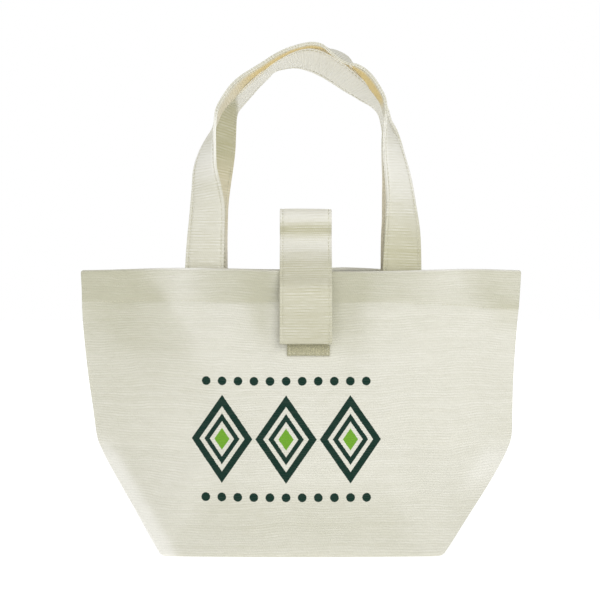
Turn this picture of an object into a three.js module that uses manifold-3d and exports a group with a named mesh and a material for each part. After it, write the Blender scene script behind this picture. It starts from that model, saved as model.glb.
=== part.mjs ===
// Small cotton canvas tote with a boxed base, two strap handles and a closure tab.
// Millimetres, +Z up. The front faces -Y, and the origin is the middle of the base on the ground.
// The front and back panels meet in a seam down both sides and across the bottom. Each handle is a
// flat strap that stands edge-on over the mouth. The tab is sewn in the back hem, comes up out of
// the mouth, folds over and lies down the front on a hook-and-loop fastening.

import * as THREE from 'three';
import { mergeVertices } from 'three/addons/utils/BufferGeometryUtils.js';
import Module from 'manifold-3d';

const wasm = await Module();
wasm.setup();

// Cloth and sewing
const CLOTH = 1.2;              // one ply of canvas
const HEM_PLIES = 3;            // the panel and the two plies folded in behind it
const HEM_DEPTH = 24;
const SEAM_ALLOWANCE = 10;
const SEAM_GAP = 0.3;           // between the two panels along their seam
const SEWN_GAP = 0.3;           // between a piece and what it is sewn to

// Bag body
const HEIGHT = 195;
const MOUTH_WIDTH = 310;
const MOUTH_OPENING = 52;       // front to back at the middle of the mouth
const KINK_HEIGHT = 74;         // where the boxed corner's triangle ends on the side seam
const KINK_WIDTH = 288;
const BASE_WIDTH = 190;
const BASE_DEPTH = 100;
const BASE_END_DEPTH = 92;      // front to back at the ends of the base
const BASE_ROUND = 4;           // soft lower edge
const CORNER_ROUND = 9;         // soft standing edge between the front and the boxed corner
const SIDE_FLARE = 1.3;         // how the width grows from the kink to the mouth
const BELLY = 1.35;             // how the depth shrinks from the base to the mouth
const SECTION_POWER = 2.2;      // how full the bag is across its width
const KINK_SOFTNESS = 2;
const FINEST_ROUND = 0.4;       // the corner's round where the side seam closes
const SEAM_LIP = 0.5;           // least depth of a wall in front of the seam
const CORNER_REACH = 0.9;       // how much of its round the corner takes on the boxed side

// Handles
const HANDLE_WIDTH = 27;
const HANDLE_THICKNESS = 2.6;
const HANDLE_SPACING = 137;     // middle of one leg to middle of the other
const HANDLE_OFFSET = 2.3;      // the pair is sewn a little to the right of the middle
const HANDLE_TUCK = 22;         // sewn length inside the hem
const SHOULDER_HEIGHT = 108;    // above the hem
const SHOULDER_SPAN = 125;      // the front loop's width at its shoulders
const CROWN_RISE = 156.5;       // the front loop's crown above the hem
const CROWN_SOFTNESS = 14;
const LOOP_DROP = 9;            // how much lower the back loop's crown stands, inside the front one
const LOOP_NARROWING = 16;      // how much narrower its shoulders are
// Each loop also leans its crown towards the other handle and dips it that way, in degrees
const FRONT_LOOP = { rise: CROWN_RISE, shoulders: SHOULDER_SPAN, lean: 14.5, tilt: 9 };
const BACK_LOOP = {
  rise: CROWN_RISE - LOOP_DROP, shoulders: SHOULDER_SPAN - LOOP_NARROWING, lean: 11.5, tilt: 33,
};
// One side of a loop, from the hem to the shoulder: shares of the way in and of the climb
const LEG_ROUTE = [[0, 0], [0.12, 0.4], [0.4, 0.7], [1, 1]];
// From the shoulder to the crown: share of the shoulder's reach, and of the climb
const CROWN_ROUTE = [[0.9, 0.4], [0.65, 0.66]];
const CROWN_EASE = 0.955;       // share of the climb where the crown's soft top begins

// Closure tab
const TAB_WIDTH = 36;
const TAB_THICKNESS = 2.6;
const TAB_OFFSET = 4;           // sewn a little to the right of the middle
const TAB_TUCK = 22;
const TAB_FOLD_DEPTH = -8;      // the inside of the fold, front to back
const TAB_FOLD_RISE = 41;       // the inside of the fold, above the hem
const TAB_LENGTH = 91;          // height from the fold down to the free end
const TAB_BULGE = 6;            // how far the tab stands forward just below its fold
const TAB_MOUTH_CLEARANCE = 2;  // between the tab and the edge of the mouth
const TAB_ROUND_DROP = 5;       // from the fold down to where its round ends
const TAB_BULGE_DROP = 11;      // from the fold down to the tab's foremost place
const TAB_BULGE_LIP = 2;
const TAB_SLOPE_DROP = 21;      // from the fold down to the middle of the slope to the mouth
const TAB_SLOPE_SHARE = 0.4;
const TAB_LIP_DROP = 12;        // from the mouth down to where the tab settles on the panel
const TAB_LIP_SHARE = 0.6;
const FOLD_GAP = 0.4;

// Hook-and-loop pads
const PAD_WIDTH = 29;
const PAD_HEIGHT = 24;
const PAD_THICKNESS = 1.5;
const PAD_END_MARGIN = 3;       // from the tab's free end to the hook pad
const PAD_DROP = 11;            // how far the loop pad sits below the hook pad
const PAD_GAP = 0.4;            // between the closed pads

const BEND_RISE = 3;            // the straps bend on a line this far above the hem

// Facets
const FRONT_STEPS = 12;         // from the middle to one side
const SIDE_STEPS = 3;
const LEVEL_STEPS = 6;          // from the base to the kink, and from the kink to the hem
const LEVEL_CROWDING = 1.5;     // draws the levels in towards the kink
const STRAP_STEPS = 56;
const PATCH_STEPS = 4;

const finish = (name, color, roughness) => (
  new THREE.MeshStandardMaterial({ name, color, roughness, metalness: 0 })
);
const CANVAS = finish('canvas', 0xe6e4d8, 0.95);
const STRAP = finish('strap', 0xe2e0d2, 0.95);
const HOOKS = finish('hooks', 0xd6d2bd, 0.85);
const LOOPS = finish('loops', 0xd2cdb4, 1);

const HEM = HEM_PLIES * CLOTH;
const BEND_HEIGHT = HEIGHT + BEND_RISE;
const mix = (from, to, share) => from + (to - from) * share;
const point = (x, y, z) => new THREE.Vector3(x, y, z);

// Form of the body

function halfWidth(z) {
  const gusset = mix(BASE_WIDTH, KINK_WIDTH, z / KINK_HEIGHT) / 2;
  const drop = Math.max(HEIGHT - z, 0) / (HEIGHT - KINK_HEIGHT);
  const flare = mix(MOUTH_WIDTH, KINK_WIDTH, drop ** SIDE_FLARE) / 2;
  const sum = Math.exp((flare - gusset) / KINK_SOFTNESS) + 1;
  return flare - KINK_SOFTNESS * Math.log(sum);
}

function centreDepth(z) {
  return mix(BASE_DEPTH, MOUTH_OPENING, (z / HEIGHT) ** BELLY) / 2;
}

function sideDepth(z) {
  return Math.max((BASE_END_DEPTH / 2) * (1 - z / KINK_HEIGHT), CLOTH);
}

// Distance of the outer face from the seam plane
function wallDepth(x, z, inset = 0) {
  const across = Math.min(Math.abs(x) / (halfWidth(z) - inset), 1);
  return mix(sideDepth(z), centreDepth(z), 1 - across ** SECTION_POWER) - inset;
}

function edgeRounding(height) {
  const below = Math.max(1 - height / BASE_ROUND, 0);
  return BASE_ROUND * (1 - Math.sqrt(1 - below * below));
}

// Heights of the facets between the base's rounding and the hem
function panelLevels() {
  const levels = [];
  for (let step = 1; step < LEVEL_STEPS; step += 1) {
    const below = 1 - (1 - step / LEVEL_STEPS) ** LEVEL_CROWDING;
    levels.push(mix(CLOTH + BASE_ROUND, KINK_HEIGHT, below));
  }
  for (let step = 0; step < LEVEL_STEPS; step += 1) {
    levels.push(mix(KINK_HEIGHT, HEIGHT - HEM_DEPTH, (step / LEVEL_STEPS) ** LEVEL_CROWDING));
  }
  return levels;
}

// Half of the bag's outline at one height, from the left seam round the front to the right seam
function halfOutline(z, inset, height, seamY) {
  const drawnIn = inset + edgeRounding(height);
  const width = halfWidth(z) - drawnIn;
  const round = Math.max(CORNER_ROUND * sideDepth(z) / sideDepth(0), FINEST_ROUND);
  const reach = (x) => Math.min(-wallDepth(x, z, drawnIn), seamY - SEAM_LIP);
  const sideEnd = mix(reach(width), Math.min(reach(width) + round, seamY), CORNER_REACH);
  const right = [];
  for (let step = 0; step <= FRONT_STEPS; step += 1) {
    const x = (width - round) * step / FRONT_STEPS;
    right.push([x, reach(x)]);
  }
  const turn = new THREE.QuadraticBezierCurve(
    new THREE.Vector2(...right[FRONT_STEPS]),
    new THREE.Vector2(width, reach(width)),
    new THREE.Vector2(width, sideEnd),
  );
  for (let step = 1; step <= SIDE_STEPS; step += 1) {
    right.push(turn.getPoint(step / SIDE_STEPS).toArray());
  }
  right.push([width, seamY]);
  const left = right.slice(1).reverse().map(([x, y]) => [-x, y]);
  return [...left, ...right].map(([x, y]) => point(x, y, z));
}

// Solids

// Skin over closed rings of points, each running anticlockwise seen from the ring after it
function loft(rings) {
  const count = rings[0].length;
  const vertices = rings.flat();
  const faces = [];
  for (let ring = 0; ring < rings.length - 1; ring += 1) {
    for (let side = 0; side < count; side += 1) {
      const here = ring * count + side;
      const next = ring * count + (side + 1) % count;
      faces.push(here, next, next + count, here, next + count, here + count);
    }
  }
  const cap = (ring, forward) => {
    const middle = vertices.length;
    const centre = point(0, 0, 0);
    rings[ring].forEach((corner) => centre.addScaledVector(corner, 1 / count));
    vertices.push(centre);
    for (let side = 0; side < count; side += 1) {
      const here = ring * count + side;
      const next = ring * count + (side + 1) % count;
      faces.push(middle, ...(forward ? [here, next] : [next, here]));
    }
  };
  cap(0, false);
  cap(rings.length - 1, true);
  const geometry = new THREE.BufferGeometry().setFromPoints(vertices);
  geometry.setIndex(faces);
  return geometry;
}

function solid(geometry) {
  const merged = mergeVertices(geometry, 1e-4);
  return new wasm.Manifold(new wasm.Mesh({
    numProp: 3,
    vertProperties: new Float32Array(merged.attributes.position.array),
    triVerts: new Uint32Array(merged.index.array),
  }));
}

function geometryOf(body) {
  const mesh = body.getMesh();
  const geometry = new THREE.BufferGeometry();
  geometry.setAttribute('position', new THREE.BufferAttribute(new Float32Array(mesh.vertProperties), 3));
  geometry.setIndex(new THREE.BufferAttribute(new Uint32Array(mesh.triVerts), 1));
  return geometry;
}

// The same piece on the back of the bag
function mirrored(geometry) {
  const copy = geometry.clone().applyMatrix4(new THREE.Matrix4().makeScale(1, -1, 1));
  const faces = copy.index.array;
  for (let first = 0; first < faces.length; first += 3) {
    [faces[first], faces[first + 1]] = [faces[first + 1], faces[first]];
  }
  return copy;
}

function box(from, to) {
  const geometry = new THREE.BoxGeometry(to[0] - from[0], to[1] - from[1], to[2] - from[2]);
  geometry.translate((from[0] + to[0]) / 2, (from[1] + to[1]) / 2, (from[2] + to[2]) / 2);
  geometry.deleteAttribute('normal');
  geometry.deleteAttribute('uv');
  return geometry;
}

// A sheet that follows the front panel, between two distances outside the panel's outer face
function patch(middle, width, bottom, top, near, far) {
  const rings = [];
  for (let row = 0; row <= PATCH_STEPS; row += 1) {
    const z = mix(bottom, top, row / PATCH_STEPS);
    const front = [];
    const back = [];
    for (let step = 0; step <= PATCH_STEPS; step += 1) {
      const x = mix(middle - width / 2, middle + width / 2, step / PATCH_STEPS);
      front.push(point(x, -wallDepth(x, z, -far), z));
      back.unshift(point(x, -wallDepth(x, z, -near), z));
    }
    rings.push([...front, ...back]);
  }
  return loft(rings);
}

// A flat strap along a route; wide points along its width and thick out of its outer face
function strap(stations, width, thickness) {
  const round = thickness / 3;
  const outline = [
    [width / 2 - round, thickness / 2],
    [round - width / 2, thickness / 2],
    [-width / 2, thickness / 2 - round],
    [-width / 2, round - thickness / 2],
    [round - width / 2, -thickness / 2],
    [width / 2 - round, -thickness / 2],
    [width / 2, round - thickness / 2],
    [width / 2, thickness / 2 - round],
  ];
  const rings = stations.map(({ centre, wide, thick }) => outline.map(
    ([across, out]) => centre.clone().addScaledVector(wide, across).addScaledVector(thick, out),
  ));
  return loft(rings);
}

// Panels

function seamAllowance() {
  const levels = [CLOTH, ...panelLevels(), HEIGHT - HEM_DEPTH + CLOTH];
  const rings = levels.map((z) => {
    const outer = halfWidth(z) - edgeRounding(z - CLOTH) - CLOTH / 2;
    const inner = halfWidth(z) - CLOTH - SEAM_ALLOWANCE;
    const front = -SEAM_GAP / 2 - CLOTH;
    const back = -SEAM_GAP / 2;
    return [point(inner, front, z), point(outer, front, z), point(outer, back, z), point(inner, back, z)];
  });
  return loft(rings);
}

function frontPanel() {
  const seam = -SEAM_GAP / 2;
  const levels = [...panelLevels(), HEIGHT - HEM_DEPTH];
  const outside = [0, BASE_ROUND / 4, BASE_ROUND, ...levels, HEIGHT];
  const shell = solid(loft(outside.map((z) => halfOutline(z, 0, z, seam))));
  const inside = [CLOTH, CLOTH + BASE_ROUND / 4, CLOTH + BASE_ROUND, ...levels]
    .map((z) => halfOutline(z, CLOTH, z - CLOTH, 1));
  const inHem = [HEIGHT - HEM_DEPTH + CLOTH, HEIGHT + 1].map((z) => halfOutline(z, HEM, z, 1));
  const hollow = solid(loft([...inside, ...inHem]));

  const side = solid(seamAllowance());
  const otherSide = side.mirror([1, 0, 0]);
  const bottom = solid(box(
    [BASE_ROUND - BASE_WIDTH / 2, seam - SEAM_ALLOWANCE, CLOTH / 2],
    [BASE_WIDTH / 2 - BASE_ROUND, seam, 2 * CLOTH],
  ));
  const corner = solid(box(
    [BASE_WIDTH / 2 - BASE_ROUND - SEAM_ALLOWANCE, BASE_ROUND - BASE_END_DEPTH / 2, CLOTH / 2],
    [BASE_WIDTH / 2 - BASE_ROUND, seam, 3 * CLOTH],
  ));
  const otherCorner = corner.mirror([1, 0, 0]);
  return geometryOf(
    shell.subtract(hollow).add(side).add(otherSide).add(bottom).add(corner).add(otherCorner),
  );
}

// Handles

// One sewn end, lying on the inside of the hem
function handleEnd(side) {
  const middle = HANDLE_OFFSET + side * HANDLE_SPACING / 2;
  const outer = -HEM - SEWN_GAP;
  return patch(middle, HANDLE_WIDTH, HEIGHT - HANDLE_TUCK, BEND_HEIGHT, outer - HANDLE_THICKNESS, outer);
}

// The loop, edge-on at its crown. Its inner edges turn outwards from the bag on the way up.
function handleLoop({ rise, shoulders, lean, tilt }) {
  const half = HANDLE_SPACING / 2;
  const shoulder = shoulders / 2;
  const start = BEND_HEIGHT + SEWN_GAP;
  const crown = HEIGHT + rise;
  const shoulderZ = HEIGHT + SHOULDER_HEIGHT;
  const leg = [
    ...LEG_ROUTE.map(([way, climb]) => point(mix(half, shoulder, way), 0, mix(start, shoulderZ, climb))),
    ...CROWN_ROUTE.map(([reach, climb]) => point(shoulder * reach, 0, mix(shoulderZ, crown, climb))),
    point(CROWN_SOFTNESS, 0, mix(shoulderZ, crown, CROWN_EASE)),
  ];
  const otherLeg = leg.map(({ x, y, z }) => point(-x, y, z));
  const corners = [...otherLeg, point(0, 0, crown), ...leg.reverse()];
  const route = new THREE.CatmullRomCurve3(corners, false, 'centripetal');
  const sewnDepth = wallDepth(half, BEND_HEIGHT) - HEM - SEWN_GAP - HANDLE_THICKNESS / 2;
  const sewnTurn = Math.atan2(
    wallDepth(half - HANDLE_WIDTH / 2, BEND_HEIGHT) - wallDepth(half + HANDLE_WIDTH / 2, BEND_HEIGHT),
    HANDLE_WIDTH,
  );
  const crownTurn = THREE.MathUtils.degToRad(90 + tilt);
  const stations = [];
  for (let step = 0; step <= STRAP_STEPS; step += 1) {
    const share = step / STRAP_STEPS;
    const place = route.getPointAt(share);
    const along = step === 0 || step === STRAP_STEPS
      ? point(0, 0, step === 0 ? 1 : -1)
      : route.getTangentAt(share);
    const outward = point(-along.z, 0, along.x);
    const height = (place.z - start) / (crown - start);
    const turn = mix(sewnTurn, crownTurn, height);
    const centre = point(place.x + HANDLE_OFFSET, lean * height - sewnDepth, place.z);
    const wide = outward.clone().multiplyScalar(Math.cos(turn)).add(point(0, Math.sin(turn), 0));
    const thick = outward.multiplyScalar(Math.sin(turn)).add(point(0, -Math.cos(turn), 0));
    stations.push({ centre, wide, thick });
  }
  return strap(stations, HANDLE_WIDTH, HANDLE_THICKNESS);
}

// Closure tab, given as depth and height in the plane across the bag

function tabStations(route, steps, outward) {
  const curve = new THREE.CatmullRomCurve3(route.map(([y, z]) => point(0, y, z)), false, 'centripetal');
  const stations = [];
  for (let step = 0; step <= steps; step += 1) {
    const centre = curve.getPointAt(step / steps);
    const along = curve.getTangentAt(step / steps);
    const thick = point(0, along.z, -along.y).multiplyScalar(outward);
    centre.x = TAB_OFFSET;
    stations.push({ centre, wide: point(outward, 0, 0), thick });
  }
  return stations;
}

const FOLD = [TAB_FOLD_DEPTH, HEIGHT + TAB_FOLD_RISE];
const TAB_END_HEIGHT = FOLD[1] - TAB_LENGTH;
const tabSeat = SEWN_GAP + PAD_THICKNESS + PAD_GAP + PAD_THICKNESS + SEWN_GAP + TAB_THICKNESS / 2;
const tabFront = (z, off) => -wallDepth(TAB_OFFSET, z) - off;

function tabEnd() {
  const outer = -HEM - SEWN_GAP;
  return mirrored(patch(
    TAB_OFFSET, TAB_WIDTH, HEIGHT - TAB_TUCK, BEND_HEIGHT, outer - TAB_THICKNESS, outer,
  ));
}

function tabRiser() {
  const footDepth = wallDepth(TAB_OFFSET, BEND_HEIGHT) - HEM - SEWN_GAP - TAB_THICKNESS / 2;
  const foot = [footDepth, BEND_HEIGHT + SEWN_GAP];
  const run = new THREE.Vector2(FOLD[0] - foot[0], FOLD[1] - foot[1]);
  const length = run.length();
  run.normalize();
  const lift = Math.asin(TAB_THICKNESS / 2 / length);
  run.rotateAround(new THREE.Vector2(), -lift);
  const reach = Math.cos(lift) * length - FOLD_GAP;
  const top = [foot[0] + run.x * reach, foot[1] + run.y * reach];
  const stations = tabStations([foot, top], 2, 1);
  stations[0].thick.set(0, 1, 0);
  return strap(stations, TAB_WIDTH, TAB_THICKNESS);
}

function tabFlap() {
  const free = TAB_THICKNESS / 2 + TAB_MOUTH_CLEARANCE;
  const lip = HEIGHT - TAB_LIP_DROP;
  const seatTop = HEIGHT - HEM_DEPTH;
  const route = [
    [FOLD[0] - TAB_THICKNESS / 2 - FOLD_GAP, FOLD[1] - FOLD_GAP],
    [FOLD[0] - TAB_BULGE, FOLD[1] - TAB_ROUND_DROP],
    [FOLD[0] - TAB_BULGE - TAB_BULGE_LIP, FOLD[1] - TAB_BULGE_DROP],
    [mix(FOLD[0] - TAB_BULGE, tabFront(HEIGHT, free), TAB_SLOPE_SHARE), FOLD[1] - TAB_SLOPE_DROP],
    [tabFront(HEIGHT, free), HEIGHT],
    [tabFront(lip, mix(free, tabSeat, TAB_LIP_SHARE)), lip],
    [tabFront(seatTop, tabSeat), seatTop],
    [tabFront(TAB_END_HEIGHT, tabSeat), TAB_END_HEIGHT],
  ];
  return strap(tabStations(route, STRAP_STEPS / 2, -1), TAB_WIDTH, TAB_THICKNESS);
}

// Pads: the hook pad follows the tab's back, the loop pad follows the panel

function hookPad() {
  const bottom = TAB_END_HEIGHT + PAD_END_MARGIN;
  const near = SEWN_GAP + PAD_THICKNESS + PAD_GAP;
  return patch(TAB_OFFSET, PAD_WIDTH, bottom, bottom + PAD_HEIGHT, near, near + PAD_THICKNESS);
}

function loopPad() {
  const bottom = TAB_END_HEIGHT + PAD_END_MARGIN - PAD_DROP;
  return patch(TAB_OFFSET, PAD_WIDTH, bottom, bottom + PAD_HEIGHT, SEWN_GAP, SEWN_GAP + PAD_THICKNESS);
}

// Assembly

const bag = new THREE.Group();

function place(name, geometry, material, parent = bag) {
  const mesh = new THREE.Mesh(geometry, material);
  mesh.name = name;
  parent.add(mesh);
  return mesh;
}

const panel = frontPanel();
place('front_panel', panel, CANVAS);
place('back_panel', mirrored(panel), CANVAS);
for (const [side, name] of [[-1, 'left'], [1, 'right']]) {
  const end = handleEnd(side);
  place(`front_handle_${name}_end`, end, STRAP);
  place(`back_handle_${name}_end`, mirrored(end), STRAP);
}
place('front_handle', handleLoop(FRONT_LOOP), STRAP);
place('back_handle', mirrored(handleLoop(BACK_LOOP)), STRAP);
place('tab_end', tabEnd(), STRAP);
place('tab_riser', tabRiser(), STRAP);
place('tab_flap', tabFlap(), STRAP);
place('hook_pad', hookPad(), HOOKS);
place('loop_pad', loopPad(), LOOPS);

export default bag;
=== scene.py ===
# The looks of a small cotton canvas tote with a boxed base, two strap handles and a closure tab.
# Metres, +Z up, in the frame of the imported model: the front faces -Y and the base stands on z = 0.

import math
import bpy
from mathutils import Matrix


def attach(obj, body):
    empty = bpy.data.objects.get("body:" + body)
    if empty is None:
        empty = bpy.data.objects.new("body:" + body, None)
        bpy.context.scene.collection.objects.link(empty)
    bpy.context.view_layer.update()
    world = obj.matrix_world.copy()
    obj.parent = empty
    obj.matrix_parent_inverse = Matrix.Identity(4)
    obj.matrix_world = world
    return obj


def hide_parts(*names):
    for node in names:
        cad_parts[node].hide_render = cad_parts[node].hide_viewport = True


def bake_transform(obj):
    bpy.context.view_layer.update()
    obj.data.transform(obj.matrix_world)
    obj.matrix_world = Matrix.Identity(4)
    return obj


bl_info = {
    "name": "Canvas Tote",
    "version": (1, 0, 0),
    "blender": (4, 5, 0),
    "location": "View3D > Sidebar > Tote",
    "description": "Sews a boxed canvas tote with twisted strap handles and a closure tab",
    "category": "Add Mesh",
}

import bmesh
import bpy
import numpy as np
from bpy.props import FloatProperty, FloatVectorProperty, PointerProperty
from mathutils import Vector

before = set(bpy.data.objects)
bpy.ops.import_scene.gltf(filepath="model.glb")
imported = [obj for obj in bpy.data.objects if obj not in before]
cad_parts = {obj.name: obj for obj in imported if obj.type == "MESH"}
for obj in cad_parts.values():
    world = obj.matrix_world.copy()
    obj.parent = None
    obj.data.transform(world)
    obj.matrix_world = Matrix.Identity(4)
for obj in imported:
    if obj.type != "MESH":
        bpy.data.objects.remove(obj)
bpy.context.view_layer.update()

# Form of the body, as the solids have it
KINK_SOFTNESS = 0.002       # rounding of the side's outline at the kink
SIDE_FLARE = 1.3            # how the width grows from the kink to the mouth
BELLY = 1.35                # how the depth shrinks from the base to the mouth
SECTION_POWER = 2.2         # how full the bag is across its width
BASE_ROUND = 0.0028
CORNER_ROUND = 0.004
SEAM_GAP = 0.0003
FINEST_ROUND = 0.0008
HEM_BULK = 0.0035           # how much the plies of the hem push the two walls apart at the side seam

# Plies
PLY = 0.0011                # cloth as it is shown, a little under the solid's ply
PLY_PITCH = 0.00125         # from one ply of the hem to the next
BASE_SEAM_LIFT = PLY * 1.6              # height at which the bottom seam's allowance lies
CORNER_SEAM_LIFT = PLY * 2.7            # and at which a boxed corner's allowance lies over it
TUCK = 0.008                # raw edge turned under inside the hem
SEAM_ALLOWANCE = 0.010
SEAM_LINE = -SEAM_GAP / 2 - PLY / 2     # depth of the front panel's cloth along the side seams
SEAM_SINK = 0.0003          # how deep a row of stitches lies in a strap's face
SEAM_GROOVE = 0.00035       # how much such a row draws the face in
GROOVE_REACH = 0.0005
GROOVE_SIDE = 0.0007        # from such a row to the extra columns of mesh beside it
STRAP_CROWN = 0.00012       # how far each face of a strap rises in its middle
FLUTTER = 0.00016           # how much a strap's edges wave
FLUTTER_TURN = 190.0        # radians of that wave in a metre of strap
HEM_STEP = 0.0007           # how far the hem stands out above its stitches
HEM_GROOVE = 0.0006         # how much the hem's stitches draw the cloth in
HEM_GATHER = 0.00016        # height of the gathers beside them
SLOW_RIPPLE = 0.00035
QUICK_RIPPLE = 0.00014

# Mesh steps
FRONT_STEPS = 76            # from the middle to one corner
CORNER_STEPS = 6
SIDE_STEPS = 12
WALL_STEPS = 100
FOLD_STEPS = 7
HEM_STEPS = 12
STRAP_STEPS = 230
TAB_STEPS = 150
CURVE_STEPS = 24            # between two stations of a strap, before its steps are made even
SECTION_STEPS = 23          # across one face of a strap
EDGE_STEPS = 6              # round half of a strap's folded edge
SIDE_SEAM_STEPS = (70, 6)   # up and across the allowance of a side seam
BASE_SEAM_STEPS = 60
CORNER_SEAM_STEPS = 24
PAD_STEPS = (34, 40)        # up and across a fastening pad
HEM_ROW = 240               # points along a row of the hem's stitches
SHORT_ROW = 12              # points along a short row of stitches
CROSS_ROW = -4              # where on a strap's route its cross row lies, counted from the end
MERGE_REACH = 2e-5          # vertices closer than this become one


# Sizes and colours that a user would change

def metres(name, description, value):
    return FloatProperty(name=name, description=description, default=value, unit="LENGTH")


def colour(name, description, value):
    return FloatVectorProperty(name=name, description=description, default=value, size=3,
                               subtype="COLOR", min=0.0, max=1.0)


class ToteSizes(bpy.types.PropertyGroup):
    """The cut of the bag's body"""
    height: metres("Height", "From the ground to the mouth", 0.195)
    mouth_width: metres("Mouth width", "Side to side at the mouth", 0.310)
    mouth_opening: metres("Mouth opening", "Front to back in the middle", 0.052)
    kink_height: metres("Kink height", "Top of the boxed corner's triangle", 0.074)
    kink_width: metres("Kink width", "Side to side at the kink", 0.288)
    base_width: metres("Base width", "Side to side on the ground", 0.190)
    base_depth: metres("Base depth", "Front to back in the middle of the base", 0.100)
    base_end_depth: metres("Base end depth", "Front to back at the base's ends", 0.092)
    hem_line: metres("Hem line", "From the mouth down to the hem's stitches", 0.0222)
    hem_depth: metres("Hem depth", "From the mouth down to the hem's fold", 0.0245)
    limpness: FloatProperty(name="Limpness", description="Height of the cloth's soft folds, 1 as sewn",
                            default=1.0, min=0.0, max=2.0)


class StrapSizes(bpy.types.PropertyGroup):
    """The two handles and the closure tab"""
    handle_width: metres("Handle width", "Across a handle", 0.027)
    tab_width: metres("Tab width", "Across the closure tab", 0.036)
    tab_offset: metres("Tab offset", "Middle of the tab, right of the middle", 0.004)
    handle_thickness: metres("Handle thickness", "Both layers of a handle", 0.0021)
    tab_thickness: metres("Tab thickness", "Both layers of the tab", 0.0026)
    edge_seam: metres("Edge seam", "From a strap's edge in to its stitches", 0.0021)
    pad_width: metres("Pad width", "Across a fastening pad", 0.029)
    pad_height: metres("Pad height", "Up and down a fastening pad", 0.024)


class ThreadSizes(bpy.types.PropertyGroup):
    """Sewing thread"""
    pitch: metres("Stitch pitch", "From one stitch to the next", 0.0030)
    length: metres("Stitch length", "Shown length of one stitch", 0.0024)
    thread: metres("Thread", "Thickness of the thread", 0.0006)


class ToteColours(bpy.types.PropertyGroup):
    """Undyed cotton, thread and ink, with the colours of painted light and shade"""
    canvas: colour("Canvas", "High yarns of the panels", (0.795, 0.782, 0.70))
    # Also the colour that painted shade pulls the panels' cloth towards
    canvas_low: colour("Canvas, low", "Hollows and gaps between the yarns", (0.54, 0.53, 0.405))
    strap: colour("Strap", "High yarns of the straps", (0.776, 0.763, 0.682))
    # Also the colour that painted shade pulls the straps towards, as on their inner faces
    strap_low: colour("Strap, low", "Inner faces and gaps of the straps", (0.475, 0.455, 0.288))
    # Painted light: the pale colour that cloth marked below 0 is blended towards, standing in for light
    # that falls through a strap
    painted_light_colour: colour("Painted light", "Cleanest cloth, where light falls through a strap", (0.92, 0.91, 0.85))
    glow: colour("Glow", "Light through the cloth under the handles' crown", (0.73, 0.57, 0.24))
    thread: colour("Thread", "Sewing thread", (0.72, 0.70, 0.55))
    tape: colour("Tape", "Hook and loop tape", (0.66, 0.63, 0.42))
    dark_ink: colour("Dark ink", "Outlines and dots of the print", (0.0040, 0.029, 0.019))
    bright_ink: colour("Bright ink", "Cores of the print", (0.162, 0.381, 0.028))


def sizes():
    return bpy.context.scene.tote_sizes


def straps():
    return bpy.context.scene.tote_straps


def threads():
    return bpy.context.scene.tote_threads


def colours():
    return bpy.context.scene.tote_colours


# Form of the body

def mix(start, end, share):
    return start + (end - start) * share


def smooth(value, start, end):
    share = np.clip((value - start) / (end - start), 0.0, 1.0)
    return share * share * (3.0 - 2.0 * share)


def bell(value, middle, reach):
    return np.exp(-0.5 * ((value - middle) / reach) ** 2)


def half_width(z):
    cut = sizes()
    gusset = mix(cut.base_width, cut.kink_width, z / cut.kink_height) / 2
    drop = np.maximum(cut.height - z, 0.0) / (cut.height - cut.kink_height)
    flare = mix(cut.mouth_width, cut.kink_width, drop ** SIDE_FLARE) / 2
    return flare - KINK_SOFTNESS * np.log(np.exp((flare - gusset) / KINK_SOFTNESS) + 1.0)


def centre_depth(z):
    cut = sizes()
    return mix(cut.base_depth, cut.mouth_opening, (np.maximum(z, 0.0) / cut.height) ** BELLY) / 2


def side_depth(z):
    cut = sizes()
    return np.maximum(cut.base_end_depth / 2 * (1.0 - z / cut.kink_height), PLY)


def wall_depth(x, z, inset=0.0):
    cut = sizes()
    across = np.minimum(np.abs(x) / (half_width(z) - inset), 1.0)
    fold = cut.height - cut.hem_depth
    bulk = HEM_BULK * smooth(z, fold - 0.012, fold) * across ** 10
    return mix(side_depth(z), centre_depth(z), 1.0 - across ** SECTION_POWER) + bulk - inset


# Soft folds of the front and the back: middle (x, z), direction in degrees, half length, half width, height
FRONT_FOLDS = [
    (-0.054, 0.152, -50, 0.045, 0.012, 0.0042),
    (-0.114, 0.168, -35, 0.032, 0.016, -0.0038),
    (-0.024, 0.165, 84, 0.026, 0.009, -0.0018),
    (0.035, 0.165, 88, 0.028, 0.008, -0.0016),
    (0.120, 0.115, 72, 0.045, 0.013, 0.0030),
    (0.134, 0.176, -60, 0.018, 0.009, -0.0022),
    (-0.086, 0.032, 55, 0.030, 0.010, 0.0030),
    (-0.062, 0.062, 60, 0.036, 0.014, -0.0014),
    (0.088, 0.030, 122, 0.030, 0.010, 0.0020),
    (0.000, 0.026, 2, 0.060, 0.014, -0.0012),
    (0.022, 0.094, 12, 0.060, 0.030, 0.0014),
    (0.075, 0.185, 30, 0.030, 0.012, 0.0010),
]
BACK_FOLDS = [
    (0.050, 0.140, 52, 0.045, 0.014, 0.0024),
    (0.108, 0.165, 40, 0.030, 0.016, -0.0020),
    (-0.085, 0.120, 100, 0.045, 0.014, 0.0022),
    (-0.030, 0.160, 80, 0.028, 0.012, -0.0018),
    (0.086, 0.034, 125, 0.030, 0.010, 0.0020),
    (-0.088, 0.032, 58, 0.030, 0.010, 0.0022),
    (0.010, 0.060, 5, 0.060, 0.022, 0.0016),
    (-0.128, 0.170, 70, 0.022, 0.010, -0.0014),
]
FOLDS = {-1: FRONT_FOLDS, 1: BACK_FOLDS}
# The mouth's edge rises here: middle, half width, height
MOUTH_RISES = {
    -1: [(-0.080, 0.034, 0.0020), (0.117, 0.026, 0.0011), (0.030, 0.030, -0.0004)],
    1: [(0.032, 0.018, 0.0017), (-0.070, 0.030, 0.0012)],
}
HEM_DIP = 0.0052            # how much lower the front's hem stitches run at the right seam
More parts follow.
